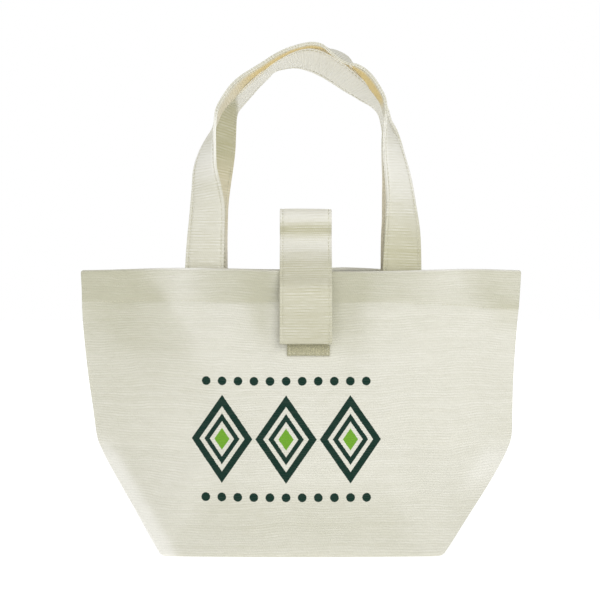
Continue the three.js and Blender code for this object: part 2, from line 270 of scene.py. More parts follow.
# The right side stands a little wider low down, and the left one is drawn in at the kink and the mouth
SWELL_HEIGHT = 0.055
SWELL_REACH = 0.034
SWELL = 0.0062
FOOT_SWELL = 0.0016
KINK_TUCK = 0.0012
MOUTH_TUCK = 0.0013
GUSSET_DENT = 0.0022


def fold_height(x, z, side):
    total = np.zeros_like(x)
    for middle_x, middle_z, degrees, half_length, half_breadth, height in FOLDS[side]:
        turn = math.radians(degrees)
        along = (x - middle_x) * math.cos(turn) + (z - middle_z) * math.sin(turn)
        across = (z - middle_z) * math.cos(turn) - (x - middle_x) * math.sin(turn)
        total += height * np.exp(-0.5 * ((along / half_length) ** 2 + (across / half_breadth) ** 2))
    return total * sizes().limpness


def ripples(x, z):
    """Small unevenness that a washed canvas keeps, a few tenths of a millimetre."""
    slow = np.sin(x * 83.0 + 1.3 * np.sin(z * 61.0)) * np.sin(z * 97.0 + 0.9 * np.sin(x * 47.0))
    quick = np.sin(x * 211.0 + 2.0 * np.sin(z * 90.0)) * np.sin(z * 263.0 + 1.7 * np.sin(x * 118.0))
    return SLOW_RIPPLE * slow + QUICK_RIPPLE * quick


def mouth_rise(x, side):
    return sum(height * bell(x, middle, reach) for middle, reach, height in MOUTH_RISES[side])


def hem_height(x, side):
    """Height of the hem's stitches, which run lower towards the right seam of the front."""
    cut = sizes()
    return cut.height - cut.hem_line - HEM_DIP * smooth(x, 0.060, 0.158) * (side < 0)


def pucker(x, z, side):
    """The hem stands proud above its stitches, which draw the cloth in."""
    line = hem_height(x, side)
    gap = z - line
    step = HEM_STEP * smooth(gap, -0.002, 0.004)
    groove = HEM_GROOVE * bell(gap, 0.0, 0.0011)
    gathers = HEM_GATHER * np.sin(x * 620.0 + 3.0 * np.sin(x * 71.0)) * np.exp(-np.abs(gap) / 0.006)
    return (step - groove + gathers) * smooth(z, line - 0.03, line - 0.01)


def settled(points, side):
    """Rest positions with the cloth's folds, the same for both walls where they meet."""
    cut = sizes()
    x, y, z = points.T
    width = half_width(np.clip(z, 0.0, cut.height))
    share = np.clip(np.abs(x) / width, 0.0, 1.0)
    window = (1.0 - share ** 8) * smooth(z, 0.0, 0.016)
    out = (fold_height(x, z, side) + ripples(x, z)) * window
    out = out + pucker(x, z, side) * (1.0 - share ** 16)
    moved = points.copy()
    moved[:, 1] += side * out * smooth(np.abs(y), 0.0, 0.006)
    swell = SWELL * bell(z, SWELL_HEIGHT, SWELL_REACH)
    swell = (swell + FOOT_SWELL * np.exp(-np.maximum(z, 0.0) / 0.020)) * smooth(x, 0.040, 0.092)
    tuck = KINK_TUCK * bell(z, 0.090, 0.018) + MOUTH_TUCK * smooth(z, 0.155, 0.185)
    depth = np.maximum(side_depth(z), 0.004)
    dent = GUSSET_DENT * np.clip(1.0 - (y / depth) ** 2, 0.0, 1.0) * smooth(share, 0.93, 0.99)
    dent = dent * smooth(z, 0.004, 0.030) * (1.0 - smooth(z, 0.050, cut.kink_height))
    moved[:, 0] += swell * mix(0.8, 1.0, smooth(z, 0.0, 0.012)) - np.sign(x) * dent
    moved[:, 0] += tuck * smooth(x, -0.070, -0.130)
    moved[:, 2] += mouth_rise(x, side) * smooth(z, 0.110, cut.height) * (1.0 - share ** 12)
    return moved


def on_wall(x, z, side, out):
    """Points at a distance out from a wall's outer face, with the wall's folds."""
    x = np.asarray(x, float)
    z = np.asarray(z, float)
    y = side * wall_depth(x, z, -out)
    return settled(np.stack([x, y, z], axis=1), side)


# Meshes

def new_object(name, data):
    made = bpy.data.objects.new(name, data)
    bpy.context.collection.objects.link(made)
    return made


def baked(obj):
    """The object's evaluated mesh as a plain mesh, with no modifier left."""
    depsgraph = bpy.context.evaluated_depsgraph_get()
    mesh = bpy.data.meshes.new_from_object(obj.evaluated_get(depsgraph))
    mesh.name = obj.name
    obj.modifiers.clear()
    obj.data = mesh
    return obj


def shade_smooth(obj):
    obj.data.shade_smooth()
    return obj


def vertex_rows(mesh, what):
    rows = np.empty(len(mesh.vertices) * 3)
    mesh.vertices.foreach_get(what, rows)
    return rows.reshape(-1, 3)


def mark(obj, amount, name="painted_shading"):
    """Paints light and shade into the cloth's colour, which the material reads: below 0 is painted light,
    paler cloth, and 1 is painted shade, yellower, as deep in a hollow.
    """
    layer = obj.data.attributes.new(name, "FLOAT", "POINT")
    layer.data.foreach_set("value", np.clip(amount, -1.0, 1.5).astype(np.float32))


def run_length(points):
    """How far along a chain each of its points lies."""
    steps = np.linalg.norm(np.diff(points, axis=0), axis=1)
    return np.concatenate([[0.0], np.cumsum(steps)])


def unit(rows):
    return rows / np.linalg.norm(rows, axis=1)[:, None]


def grid_faces(rows, columns, first=0):
    faces = []
    for row in range(rows - 1):
        for column in range(columns - 1):
            here = first + row * columns + column
            faces.append((here, here + 1, here + 1 + columns, here + columns))
    return faces


def edited(mesh, edit):
    """Runs one step of mesh editing on a mesh."""
    shape = bmesh.new()
    shape.from_mesh(mesh)
    edit(shape)
    shape.to_mesh(mesh)
    shape.free()


def lay_uvs(mesh, places):
    """Stores where each vertex lies on the flat cloth."""
    layer = mesh.uv_layers.new(name="cloth")
    for loop in mesh.loops:
        layer.data[loop.index].uv = places[loop.vertex_index]


def sheet_object(name, patches, thickness):
    """Solidified cloth from grids: each patch is an array of rows of points and one of their UVs."""
    points = []
    places = []
    faces = []
    for grid, uv in patches:
        faces.extend(grid_faces(*grid.shape[:2], len(points)))
        points.extend(grid.reshape(-1, 3).tolist())
        places.extend(uv.reshape(-1, 2).tolist())
    mesh = bpy.data.meshes.new(name)
    mesh.from_pydata(points, [], faces)
    lay_uvs(mesh, places)
    edited(mesh, lambda shape: bmesh.ops.remove_doubles(shape, verts=shape.verts, dist=MERGE_REACH))
    obj = new_object(name, mesh)
    wall = obj.modifiers.new("ply", "SOLIDIFY")
    wall.thickness = thickness
    wall.offset = 0.0
    wall.use_even_offset = True
    wall.use_rim = True
    baked(obj)
    return shade_smooth(obj)


def outline(z, inset):
    """Half of the bag's outline at one height, from the left seam round the front to the right one."""
    width = half_width(z) - inset
    round_off = max(CORNER_ROUND * side_depth(z) / side_depth(0.0), FINEST_ROUND)
    front_x = np.linspace(0.0, width - round_off, FRONT_STEPS + 1)
    front_y = np.minimum(-wall_depth(front_x, z, inset), SEAM_LINE - FINEST_ROUND)
    corner_y = min(-wall_depth(width, z, inset), SEAM_LINE - FINEST_ROUND)
    start = np.array([front_x[-1], front_y[-1]])
    middle = np.array([width, corner_y])
    end_y = mix(corner_y, min(corner_y + round_off, SEAM_LINE), 0.9)
    end = np.array([width, end_y])
    turn = np.linspace(0.0, 1.0, CORNER_STEPS + 1)[1:, None]
    corner = start * (1 - turn) ** 2 + middle * 2 * turn * (1 - turn) + end * turn ** 2
    side_y = np.linspace(end_y, SEAM_LINE, SIDE_STEPS + 1)[1:]
    side = np.stack([np.full(SIDE_STEPS, width), side_y], axis=1)
    right = np.concatenate([np.stack([front_x, front_y], axis=1), corner, side])
    left = right[1:][::-1] * np.array([-1.0, 1.0])
    return np.concatenate([left, right])


def arc(turn):
    """Cosine and sine at each step of a fold, after its start."""
    angles = [turn * step / FOLD_STEPS for step in range(1, FOLD_STEPS + 1)]
    return [(math.cos(angle), math.sin(angle)) for angle in angles]


def wall_path():
    """Height and inset of each row of the wall, from the ground over the mouth to the raw edge."""
    cut = sizes()
    half = PLY / 2
    bend = BASE_ROUND - half
    top = cut.height - PLY_PITCH - half
    bottom = cut.height - cut.hem_depth + PLY_PITCH
    middle = half + 1.5 * PLY_PITCH
    rows = [(half, half + bend)]
    rows += [(half + bend * (1 - over), half + bend * (1 - up)) for over, up in arc(math.pi / 2)]
    rows += [(mix(BASE_ROUND, top, step / WALL_STEPS), half) for step in range(1, WALL_STEPS + 1)]
    rows += [(top + PLY_PITCH * up, half + PLY_PITCH * (1 - over)) for over, up in arc(math.pi)]
    rows += [(mix(top, bottom, step / HEM_STEPS), half + 2 * PLY_PITCH) for step in range(1, HEM_STEPS + 1)]
    rows += [(bottom - PLY_PITCH / 2 * up, middle + PLY_PITCH / 2 * over) for over, up in arc(math.pi)]
    return rows + [(bottom + TUCK, half + PLY_PITCH)]


def wall_patch():
    path = wall_path()
    rings = []
    for z, inset in path:
        ring = outline(z, inset)
        rings.append(np.concatenate([ring, np.full((len(ring), 1), z)], axis=1))
    grid = np.array(rings)
    across = np.array([run_length(ring) for ring in grid])
    across -= across[:, across.shape[1] // 2][:, None]
    up = run_length(np.array(path))
    uv = np.stack([across, np.repeat(up[:, None], across.shape[1], axis=1)], axis=2)
    return grid, uv


def base_patch(wall):
    """The bottom, spanned between the wall's lowest row and the seam line."""
    ring = wall[0]
    bend = SIDE_STEPS + CORNER_STEPS // 2
    front = ring[bend:len(ring) - bend]
    left = ring[:bend + 1][::-1]
    right = ring[len(ring) - bend - 1:]
    across = np.linspace(0.0, 1.0, len(front))[:, None]
    near, seam = (mix(left[row], right[row], across) for row in (0, -1))
    rows = []
    for step in range(bend + 1):
        back = step / bend
        blend = mix(left[step], right[step], across) + mix(front, seam, back)
        rows.append(blend - mix(near, seam, back))
    grid = np.array(rows)[::-1]
    return grid, grid[:, :, :2] * np.array([1.0, -1.0]) - np.array([0.0, sizes().base_depth / 2])


def allowance_patches():
    """Raw edges inside: two up the side seams, one across the bottom and one on each boxed corner."""
    cut = sizes()
    rows, columns = SIDE_SEAM_STEPS
    heights = np.linspace(0.004, cut.height - PLY_PITCH, rows)
    inward = np.linspace(PLY / 2, SEAM_ALLOWANCE, columns)
    width = cut.base_width / 2 - BASE_ROUND
    depth = cut.base_end_depth / 2 - BASE_ROUND
    upright = []
    level = [[[(x, y, BASE_SEAM_LIFT) for x in np.linspace(-width, width, BASE_SEAM_STEPS)]
              for y in (-SEAM_GAP - SEAM_ALLOWANCE, -SEAM_GAP)]]
    for sign in (-1, 1):
        upright.append([[(sign * (half_width(z) - back), SEAM_LINE, z) for back in inward[::-sign]]
                        for z in heights])
        near_corner = sorted((sign * (width - SEAM_ALLOWANCE), sign * width))
        level.append([[(x, -y, CORNER_SEAM_LIFT) for x in near_corner]
                      for y in np.linspace(depth, SEAM_GAP, CORNER_SEAM_STEPS)])
    upright = [(grid, grid[:, :, [0, 2]]) for grid in map(np.array, upright)]
    return upright + [(grid, grid[:, :, :2]) for grid in map(np.array, level)]


# Painted shade of the panels: how yellow the painted shade makes the front's hem, and bands of it with
# their middle, reach and change, where a change below 0 is painted light
HEM_PAINTED_SHADE = 1.62
HEM_SHADE_BANDS = [(-0.081, 0.010, -1.38), (0.106, 0.018, -1.20), (-0.042, 0.010, 0.30)]
# Soft patches of painted shade on the front: amount, ramps from left to right and ramps of height, each
# from none to full
FRONT_SHADE_PATCHES = [
    (0.60, [(0.126, 0.146)], [(0.148, 0.160), (0.178, 0.170)]),
    (0.60, [(-0.085, -0.120)], [(0.120, 0.160), (0.178, 0.170)]),
    (0.42, [(-0.080, -0.140)], []),
    (0.40, [], [(0.055, 0.015)]),
    (0.40, [(0.100, 0.060), (0.000, 0.030)], [(0.125, 0.168)]),
]


def ramps(value, pairs):
    return math.prod(smooth(value, start, end) for start, end in pairs)


def tab_shadow(x):
    """Painted shadow makes the front yellower round the tab, and painted light makes it paler close to the
    tab's left edge.
    """
    gap = np.abs(x - straps().tab_offset) - straps().tab_width / 2
    right = smooth(x, -0.02, 0.02)
    close = 0.8 * smooth(gap, 0.012, 0.0) * right - 0.5 * smooth(gap, 0.014, 0.003) * (x < 0)
    around = 0.65 * smooth(gap, 0.040, 0.010) * mix(smooth(gap, 0.0, 0.012), 1.0, right)
    return close + around


def front_painted_shading(x, z, up, hem):
    """Painted light and shade of the front: painted shade in bands of its hem and soft patches, painted
    highlights on the hem's top fold and the pale lower sides, and painted shadow round the tab.
    """
    bands = HEM_PAINTED_SHADE + sum(change * bell(x, middle, reach) for middle, reach, change in HEM_SHADE_BANDS)
    # Painted highlight along the top of the hem's fold
    crest = smooth(up, 0.25, 0.80) * smooth(z, 0.186, 0.190)
    tone = hem * (bands + 0.5 * smooth(x, -0.110, -0.138)) - 2.2 * crest
    # Soft patches of painted shade
    for amount, across, climb in FRONT_SHADE_PATCHES:
        tone = tone + amount * ramps(x, across) * ramps(z, climb)
    # A painted shade patch high on the left
    tone += 0.4 * np.exp(-((x + 0.118) / 0.026) ** 2 - ((z - 0.125) / 0.036) ** 2)
    # Painted highlights on the lower sides, strongest on the left
    edge = half_width(np.clip(z, 0.0, sizes().height)) - np.abs(x)
    gleam = smooth(edge, 0.020, 0.004) * smooth(z, 0.086, 0.062)
    tone -= mix(0.7 * smooth(z, 0.030, 0.060), 1.6, smooth(x, 0.02, -0.02)) * gleam
    # Painted shadow round the tab
    return tone + tab_shadow(x) * smooth(z, 0.135, 0.160)


def shade_hollows(obj, side):
    """Paints shade where the cloth lies in a hollow or faces inwards, and painted light in some places; the
    material makes the painted shade yellower.
    """
    x, _, z = vertex_rows(obj.data, "co").T
    across, out, up = vertex_rows(obj.data, "normal").T
    # Painted shade in the valleys of the folds
    deep = smooth(-fold_height(x, z, side), -0.0010, 0.0022)
    # Painted shade on the faces inside the bag, turning to painted light near the mouth
    inside = smooth(-side * out, -0.1, 0.3) * mix(-1.0, 1.0, smooth(z, 0.193, 0.186))
    # Painted light on the left side faces, slight painted shade on the right ones
    side_face = mix(0.10, -0.85, smooth(x, 0.02, -0.02)) * smooth(np.abs(across), 0.5, 0.95)
    # Painted shade on the hem above its stitches; on the front, more painted light and shade
    line = hem_height(x, side)
    tone = smooth(z, line - 0.0006, line + 0.0006)
    if side < 0:
        tone = front_painted_shading(x, z, up, tone)
    mark(obj, 0.55 * deep + 0.9 * inside + side_face + 0.50 * tone)


def panel(name, side):
    """One wall with half of the bottom; side is -1 for the front and 1 for the back."""
    wall, wall_uv = wall_patch()
    base, base_uv = base_patch(wall)
    patches = [(wall, wall_uv), (base, base_uv), *allowance_patches()]
    shaped = []
    for grid, uv in patches:
        points = grid.reshape(-1, 3) * np.array([1.0, -side, 1.0])
        moved = settled(points, side).reshape(grid.shape)
        if side > 0:
            moved = moved[:, ::-1]
            uv = uv[:, ::-1]
        shaped.append((moved, uv))
    obj = sheet_object(name, shaped, PLY)
    shade_hollows(obj, side)
    return obj


# Straps

def strap_section(width, thickness, seam):
    """Across and out of one strap's section: two folded layers, drawn in along each row of stitches."""
    layer = thickness / 2
    bend = layer / 2
    face = []
    for share in np.linspace(-1.0, 1.0, SECTION_STEPS):
        across = share * (width / 2 - bend)
        crown = STRAP_CROWN * (1.0 - share * share)
        gap = min(abs(across - (width / 2 - seam)), abs(across + (width / 2 - seam)))
        face.append((across, layer + crown - SEAM_GROOVE * bell(gap, 0.0, GROOVE_REACH)))
    for sign in (-1.0, 1.0):
        for extra in (-GROOVE_SIDE, 0.0, GROOVE_SIDE):
            across = sign * (width / 2 - seam + extra)
            face.append((across, layer - SEAM_GROOVE * bell(extra, 0.0, GROOVE_REACH)))
    face.sort()
    edge = []
    for middle in (bend, -bend):
        for step in range(1, EDGE_STEPS):
            angle = math.pi / 2 - math.pi * step / EDGE_STEPS
            edge.append((width / 2 - bend + bend * math.cos(angle), middle + bend * math.sin(angle)))
        if middle > 0:
            edge.append((width / 2 - bend, 0.0))
    under = [(-across, -out) for across, out in face]
    other = [(-across, -out) for across, out in edge]
    return face + edge + under + other


# Catmull-Rom as a pyramid of mixes: the knots that each mix runs between
PYRAMID = (((0, 1), (1, 2), (2, 3)), ((0, 2), (1, 3)), ((1, 2),))


def curve_through(stations, steps):
    """Catmull-Rom through rows of numbers whose first three are a place, at even lengths along it."""
    rows = np.array(stations, float)
    ends = np.concatenate([[2 * rows[0] - rows[1]], rows, [2 * rows[-1] - rows[-2]]])
    fine = []
    for index in range(1, len(ends) - 2):
        four = ends[index - 1:index + 3]
        knots = [0.0]
        for one, two in zip(four, four[1:]):
            knots.append(knots[-1] + max(np.linalg.norm((two - one)[:3]), 1e-6) ** 0.5)
        for share in np.linspace(0.0, 1.0, CURVE_STEPS, endpoint=False):
            time = mix(knots[1], knots[2], share)
            level = four
            for spans in PYRAMID:
                level = [mix(one, two, (time - knots[low]) / (knots[high] - knots[low]))
                         for one, two, (low, high) in zip(level, level[1:], spans)]
            fine.append(level[0])
    fine.append(rows[-1])
    fine = np.array(fine)
    lengths = run_length(fine[:, :3])
    even = np.linspace(0.0, lengths[-1], steps + 1)
    resampled = np.stack([np.interp(even, lengths, fine[:, column]) for column in range(fine.shape[1])])
    return resampled.T, even


class Route:
    """A strap's middle line with its direction, its width's direction and its outer face's."""

    def __init__(self, stations, steps, facing):
        rows, self.lengths = curve_through(stations, steps)
        self.centre = rows[:, :3]
        self.along = unit(np.gradient(self.centre, axis=0))
        wide = rows[:, 3:6]
        self.wide = unit(wide - (wide * self.along).sum(axis=1)[:, None] * self.along)
        self.out = np.cross(self.along, self.wide) * facing

    def part(self, first, last):
        piece = Route.__new__(Route)
        for name in ("centre", "along", "wide", "out", "lengths"):
            setattr(piece, name, getattr(self, name)[first:last])
        return piece


def strap_object(name, route, width, thickness):
    """A strap as one closed skin along its route, with its UVs in metres of cloth."""
    section = np.array(strap_section(width, thickness, straps().edge_seam))
    points = []
    for index in range(len(route.centre)):
        flutter = FLUTTER * math.sin(route.lengths[index] * FLUTTER_TURN) * section[:, :1] / (width / 2)
        ring = route.centre[index] + section[:, :1] * route.wide[index]
        points.append(ring + (section[:, 1:] + flutter) * route.out[index])
    count = len(section)
    faces = []
    for row in range(len(points) - 1):
        for step in range(count):
            here = row * count + step
            beside = row * count + (step + 1) % count
            faces.append((here, beside, beside + count, here + count))
    last = (len(points) - 1) * count
    faces.append(tuple(range(count))[::-1])
    faces.append(tuple(range(last, last + count)))
    mesh = bpy.data.meshes.new(name)
    mesh.from_pydata(np.concatenate(points).tolist(), [], faces)
    lay_uvs(mesh, [(across, length) for length in route.lengths for across in section[:, 0]])
    edited(mesh, lambda shape: bmesh.ops.recalc_face_normals(shape, faces=shape.faces))
    obj = shade_smooth(new_object(name, mesh))
    for cap in list(mesh.polygons)[-2:]:
        cap.use_smooth = False
    return obj


def same_out(out, count):
    """The same outward direction for each point of a row of stitches."""
    return np.repeat([out], count, axis=0)


def edge_seams(route, width, thickness):
    """Rows of stitches near both edges of a strap, on both faces."""
    lines = []
    for sign in (-1.0, 1.0):
        for face in (1.0, -1.0):
            place = route.centre + sign * (width / 2 - straps().edge_seam) * route.wide
            place = place + face * (thickness / 2 - SEAM_SINK) * route.out
            lines.append((place, face * route.out))
    return lines


def cross_seams(route, width, thickness):
    """A row of stitches across the end of a strap, on both faces."""
    half = width / 2 - straps().edge_seam
    across = np.linspace(-half, half, SHORT_ROW)[:, None] * route.wide[CROSS_ROW]
    lines = []
    for face in (1.0, -1.0):
        out = face * route.out[CROSS_ROW]
        place = route.centre[CROSS_ROW] + across + (thickness / 2 - SEAM_SINK) * out
        lines.append((place, same_out(out, SHORT_ROW)))
    return lines


# Middle of each handle, (x, z) and the degrees that its width has turned from lying flat on the wall.
# Between its two sewn ends a handle runs up the left leg, over the crown and down the right one.
HANDLE_FEET = (-0.0662, 0.0708)
SEWN_DEPTH = 0.0052         # from a wall's outer face in to the middle of what is sewn behind the hem
FRONT_LOOP = [
    (-0.0653, 0.2190, 17), (-0.0644, 0.2375, 25), (-0.0651, 0.2510, 39), (-0.0662, 0.2649, 51),
    (-0.0647, 0.2769, 64), (-0.0619, 0.2884, 78), (-0.0598, 0.2951, 86), (-0.0586, 0.2994, 90),
    (-0.0563, 0.3068, 95), (-0.0515, 0.3140, 99), (-0.0462, 0.3205, 101), (-0.0398, 0.3267, 100),
    (-0.0317, 0.3328, 98), (-0.0242, 0.3377, 97), (-0.0169, 0.3427, 95), (-0.0073, 0.3480, 93),
    (0.0024, 0.3509, 93), (0.0084, 0.3516, 93), (0.0152, 0.3508, 90), (0.0226, 0.3478, 80),
    (0.0310, 0.3425, 76), (0.0350, 0.3393, 82), (0.0384, 0.3369, 91), (0.0440, 0.3325, 97),
    (0.0502, 0.3256, 99), (0.0554, 0.3180, 97), (0.0580, 0.3130, 94), (0.0595, 0.3051, 90),
    (0.0603, 0.2995, 86), (0.0616, 0.2927, 78), (0.0639, 0.2837, 64), (0.0659, 0.2733, 54),
    (0.0680, 0.2616, 49), (0.0697, 0.2485, 43), (0.0709, 0.2315, 32), (0.0712, 0.2170, 20),
]
FRONT_LEAN = 0.0145         # how far the crown leans towards the other handle
# The back handle also gives its depth. Its near edge stays uppermost, so its inner face shows.
BACK_LOOP = [
    (-0.0649, 0.0168, 0.2210, 8), (-0.0636, 0.0174, 0.2450, 19), (-0.0592, 0.0184, 0.2690, 32),
    (-0.0561, 0.0194, 0.2820, 45), (-0.0536, 0.0204, 0.2945, 56), (-0.0518, 0.0211, 0.3045, 63),
    (-0.0489, 0.0212, 0.3106, 70), (-0.0448, 0.0203, 0.3143, 77), (-0.0376, 0.0164, 0.3208, 80),
    (-0.0311, 0.0136, 0.3270, 81), (-0.0243, 0.0126, 0.3333, 83), (-0.0195, 0.0122, 0.3377, 83),
    (-0.0112, 0.0115, 0.3412, 77), (-0.0030, 0.0106, 0.3434, 69), (0.0043, 0.0102, 0.3440, 61),
    (0.0092, 0.0102, 0.3433, 58), (0.0156, 0.0104, 0.3408, 56), (0.0265, 0.0117, 0.3344, 58),
    (0.0382, 0.0147, 0.3261, 63), (0.0470, 0.0182, 0.3196, 69), (0.0552, 0.0212, 0.3134, 75),
    (0.0592, 0.0219, 0.3075, 79), (0.0615, 0.0215, 0.2990, 78), (0.0639, 0.0205, 0.2900, 68),
    (0.0678, 0.0188, 0.2620, 50), (0.0703, 0.0177, 0.2340, 31), (0.0708, 0.0172, 0.2150, 14),
]


def sewn_station(x, z, side, end_slope):
    """A place behind the hem, where a strap lies flat on the wall; end_slope is -1 left, 1 right."""
    step = 0.002
    near = on_wall([x - step, x, x + step], [z] * 3, side, -SEWN_DEPTH)
    wide = (near[2] - near[0]) / (2 * step) * end_slope
    return (*near[1], *wide)


def sewn_heights():
    cut = sizes()
    return np.linspace(cut.height - cut.hem_line, cut.height + 0.001, 4)


def sewn_end(x, side, slope):
    return [sewn_station(x, z, side, slope) for z in sewn_heights()]


def turned(stations, side):
    """Each station's width direction from its turn, about the strap's own direction."""
    rows = np.array(stations, float)
    along = unit(np.gradient(rows[:, :3], axis=0))
    outward = unit(along[:, [2, 1, 0]] * np.array([-1.0, 0.0, 1.0]))
    turn = np.radians(rows[:, 3:])
    wide = outward * np.cos(turn) - side * np.sin(turn) * np.array([0.0, 1.0, 0.0])
    return list(np.hstack([rows[:, :3], wide]))


def front_handle_stations():
    cut = sizes()
    left = sewn_end(HANDLE_FEET[0], -1, -1.0)
    right = sewn_end(HANDLE_FEET[1], -1, 1.0)
    crown = max(row[1] for row in FRONT_LOOP)
    rows = []
    for x, z, turn in FRONT_LOOP:
        share = (z - cut.height) / (crown - cut.height)
        foot = mix(left[-1][1], right[-1][1], (x - HANDLE_FEET[0]) / (HANDLE_FEET[1] - HANDLE_FEET[0]))
        rows.append((x, foot + FRONT_LEAN * share, z, turn))
    return left + turned(rows, -1) + right[::-1]


def back_handle_stations():
    left = sewn_end(HANDLE_FEET[0] + 0.0013, 1, -1.0)
    right = sewn_end(HANDLE_FEET[1], 1, 1.0)
    return left + turned(BACK_LOOP, 1) + right[::-1]


# Depth and height of the tab's middle line from the top of its fold down to where it leaves the mouth
TAB_ROOF = [
    (0.0180, 0.2060), (0.0085, 0.2185), (-0.0005, 0.2300), (-0.0055, 0.2352), (-0.0098, 0.2366),
    (-0.0140, 0.2352), (-0.0164, 0.2318), (-0.0168, 0.2283), (-0.0150, 0.2243), (-0.0130, 0.2207),
    (-0.0127, 0.2178), (-0.0142, 0.2142), (-0.0176, 0.2088), (-0.0216, 0.2030), (-0.0262, 0.1968),
    (-0.0296, 0.1915),
]
TAB_HEIGHTS = (0.1840, 0.1720, 0.1585, 0.1452)      # of its middle line where it lies on the front
TAB_SEAT = 0.0053           # from the panel's outer face to the middle of the tab over its pads
TAB_SPLIT = 0.222           # the riser is cut here into the tab's two pieces


def tab_route():
    middle = straps().tab_offset
    places = [on_wall([middle], [z], 1, -SEWN_DEPTH)[0] for z in sewn_heights()]
    places += [(middle, y, z) for y, z in TAB_ROOF]
    for z in TAB_HEIGHTS:
        lift = TAB_SEAT + 0.0012 * smooth(z, 0.1600, 0.1850)
        places.append(on_wall([middle], [z], -1, lift)[0])
    return Route([(*place, 1.0, 0.0, 0.0) for place in places], TAB_STEPS, -1.0)


def mark_front_handle(obj):
    """Painted shade on the yellow feet, painted light on the paler outer face, and a painted glow under the
    crown.
    """
    x, _, z = vertex_rows(obj.data, "co").T
    across, out, up = vertex_rows(obj.data, "normal").T
    # Painted shade on the feet, most on the right one
    foot = 0.20 * smooth(z, 0.235, 0.200) + 0.85 * smooth(z, 0.246, 0.208) * (x > 0)
    # Painted light on the outer face of the legs
    pale = mix(0.95 * smooth(z, 0.250, 0.285), 0.45 * smooth(z, 0.235, 0.270), x > 0)
    mark(obj, foot - pale * smooth(-out, 0.2, 0.8) * smooth(z, 0.306, 0.296))
    under = smooth(-up - 0.7 * np.sign(x) * across, 0.30, 0.90)
    deep = mix(0.30, 1.0, smooth(x, -0.050, -0.026))
    deep = np.where(x > 0, smooth(z, 0.306, 0.316), deep)
    size = straps()
    section = strap_section(size.handle_width, size.handle_thickness, size.edge_seam)
    edge = np.resize([row[0] for row in section], len(z)) / size.handle_width
    gold = mix(0.15, 1.0, smooth(edge, -0.46, -0.18))
    mark(obj, under * deep * gold * smooth(z, 0.288, 0.306), "glow")


def mark_back_handle(obj):
    """Painted shade on the left leg, painted light over the crown and the right leg, and a warm painted
    glow where its front shows.
    """
    x, _, z = vertex_rows(obj.data, "co").T
    across, out, _ = vertex_rows(obj.data, "normal").T
    inner = smooth(-np.sign(x) * across - out, 0.2, 0.9)
    # Painted light low on the left leg, turning to painted shade higher up
    climb = 0.60 * smooth(z, 0.212, 0.230) - 0.6 + 1.25 * smooth(z, 0.225, 0.285) ** 2
    left_leg = smooth(x, -0.0436, -0.0462)
    ahead = smooth(-out, -0.3, 0.1)
    # Painted light over the crown and where the right leg faces ahead
    painted_light = -0.42 * smooth(z, 0.286, 0.304) - 0.55 * ahead * smooth(z, 0.290, 0.270)
    mark(obj, mix(painted_light, inner * climb, left_leg))
    mark(obj, mix(0.30, 0.22, left_leg) * ahead * smooth(z, 0.285, 0.255), "glow")


def mark_tab(obj):
    """Painted light over the tab's fold, painted shade in a band below it and where it lies on the front,
    and some on its back.
    """
    _, y, z = vertex_rows(obj.data, "co").T
    front = -0.34 + 1.0 * smooth(z, 0.216, 0.195) + 1.25 * bell(z, 0.2235, 0.0036)
    mark(obj, np.where(y < -0.005, front, 0.45))


# Shader node groups

def feed(socket, value):
    """Links an output to a socket, or sets the socket to a plain value."""
    if isinstance(value, bpy.types.NodeSocket):
        socket.id_data.links.new(value, socket)
    else:
        socket.default_value = value


def node(tree, kind, inputs=None, **settings):
    """A node with its settings made and its inputs, given by name or number, then fed."""
    made = tree.nodes.new(kind)
    for name, value in settings.items():
        setattr(made, name, value)
    for socket, value in (inputs or {}).items():
        feed(made.inputs[socket], value)
    return made


def node_beside(values, kind, inputs, **settings):
    """A node in the tree that the first socket among some values belongs to."""
    tree = next(value.id_data for value in values if isinstance(value, bpy.types.NodeSocket))
    return node(tree, kind, inputs, **settings)


def maths(operation, *values):
    return node_beside(values, "ShaderNodeMath", dict(enumerate(values)), operation=operation).outputs[0]


def plus(one, two):
    return maths("ADD", one, two)


def minus(one, two):
    return maths("SUBTRACT", one, two)


def times(one, two, add=None):
    """One number times another, and a third added where it is given."""
    return maths("MULTIPLY", one, two) if add is None else maths("MULTIPLY_ADD", one, two, add)


def joined(x, y, z=0.0):
    return node_beside((x, y, z), "ShaderNodeCombineXYZ", {0: x, 1: y, 2: z}).outputs[0]


def split(place):
    return node_beside((place,), "ShaderNodeSeparateXYZ", {0: place}).outputs


def distance_to(place):
    return node_beside((place,), "ShaderNodeVectorMath", {0: place}, operation="LENGTH").outputs["Value"]


def object_place(tree):
    return node(tree, "ShaderNodeTexCoord").outputs["Object"]


def painted(tree, name):
    return node(tree, "ShaderNodeAttribute", attribute_name=name).outputs["Fac"]


def noise(place, scale, detail=2.0, roughness=0.5):
    inputs = {"Vector": place, "Scale": scale, "Detail": detail, "Roughness": roughness}
    return node_beside((place,), "ShaderNodeTexNoise", inputs).outputs["Fac"]


def mapped(value, low, high, new_low, new_high):
    inputs = {0: value, 1: low, 2: high, 3: new_low, 4: new_high}
    return node_beside((value,), "ShaderNodeMapRange", inputs, interpolation_type="SMOOTHSTEP").outputs[0]


def blended(share, first, second):
    inputs = {0: share, 6: first, 7: second}
    return node_beside((share,), "ShaderNodeMix", inputs, data_type="RGBA").outputs[2]


def shader_group(name, inputs, outputs):
    tree = bpy.data.node_groups.new(name, "ShaderNodeTree")
    for label, kind in inputs:
        tree.interface.new_socket(name=label, in_out="INPUT", socket_type=kind)
    for label in outputs:
        tree.interface.new_socket(name=label, in_out="OUTPUT", socket_type="NodeSocketFloat")
    start = tree.nodes.new("NodeGroupInput")
    end = tree.nodes.new("NodeGroupOutput")
    return tree, start.outputs, end.inputs


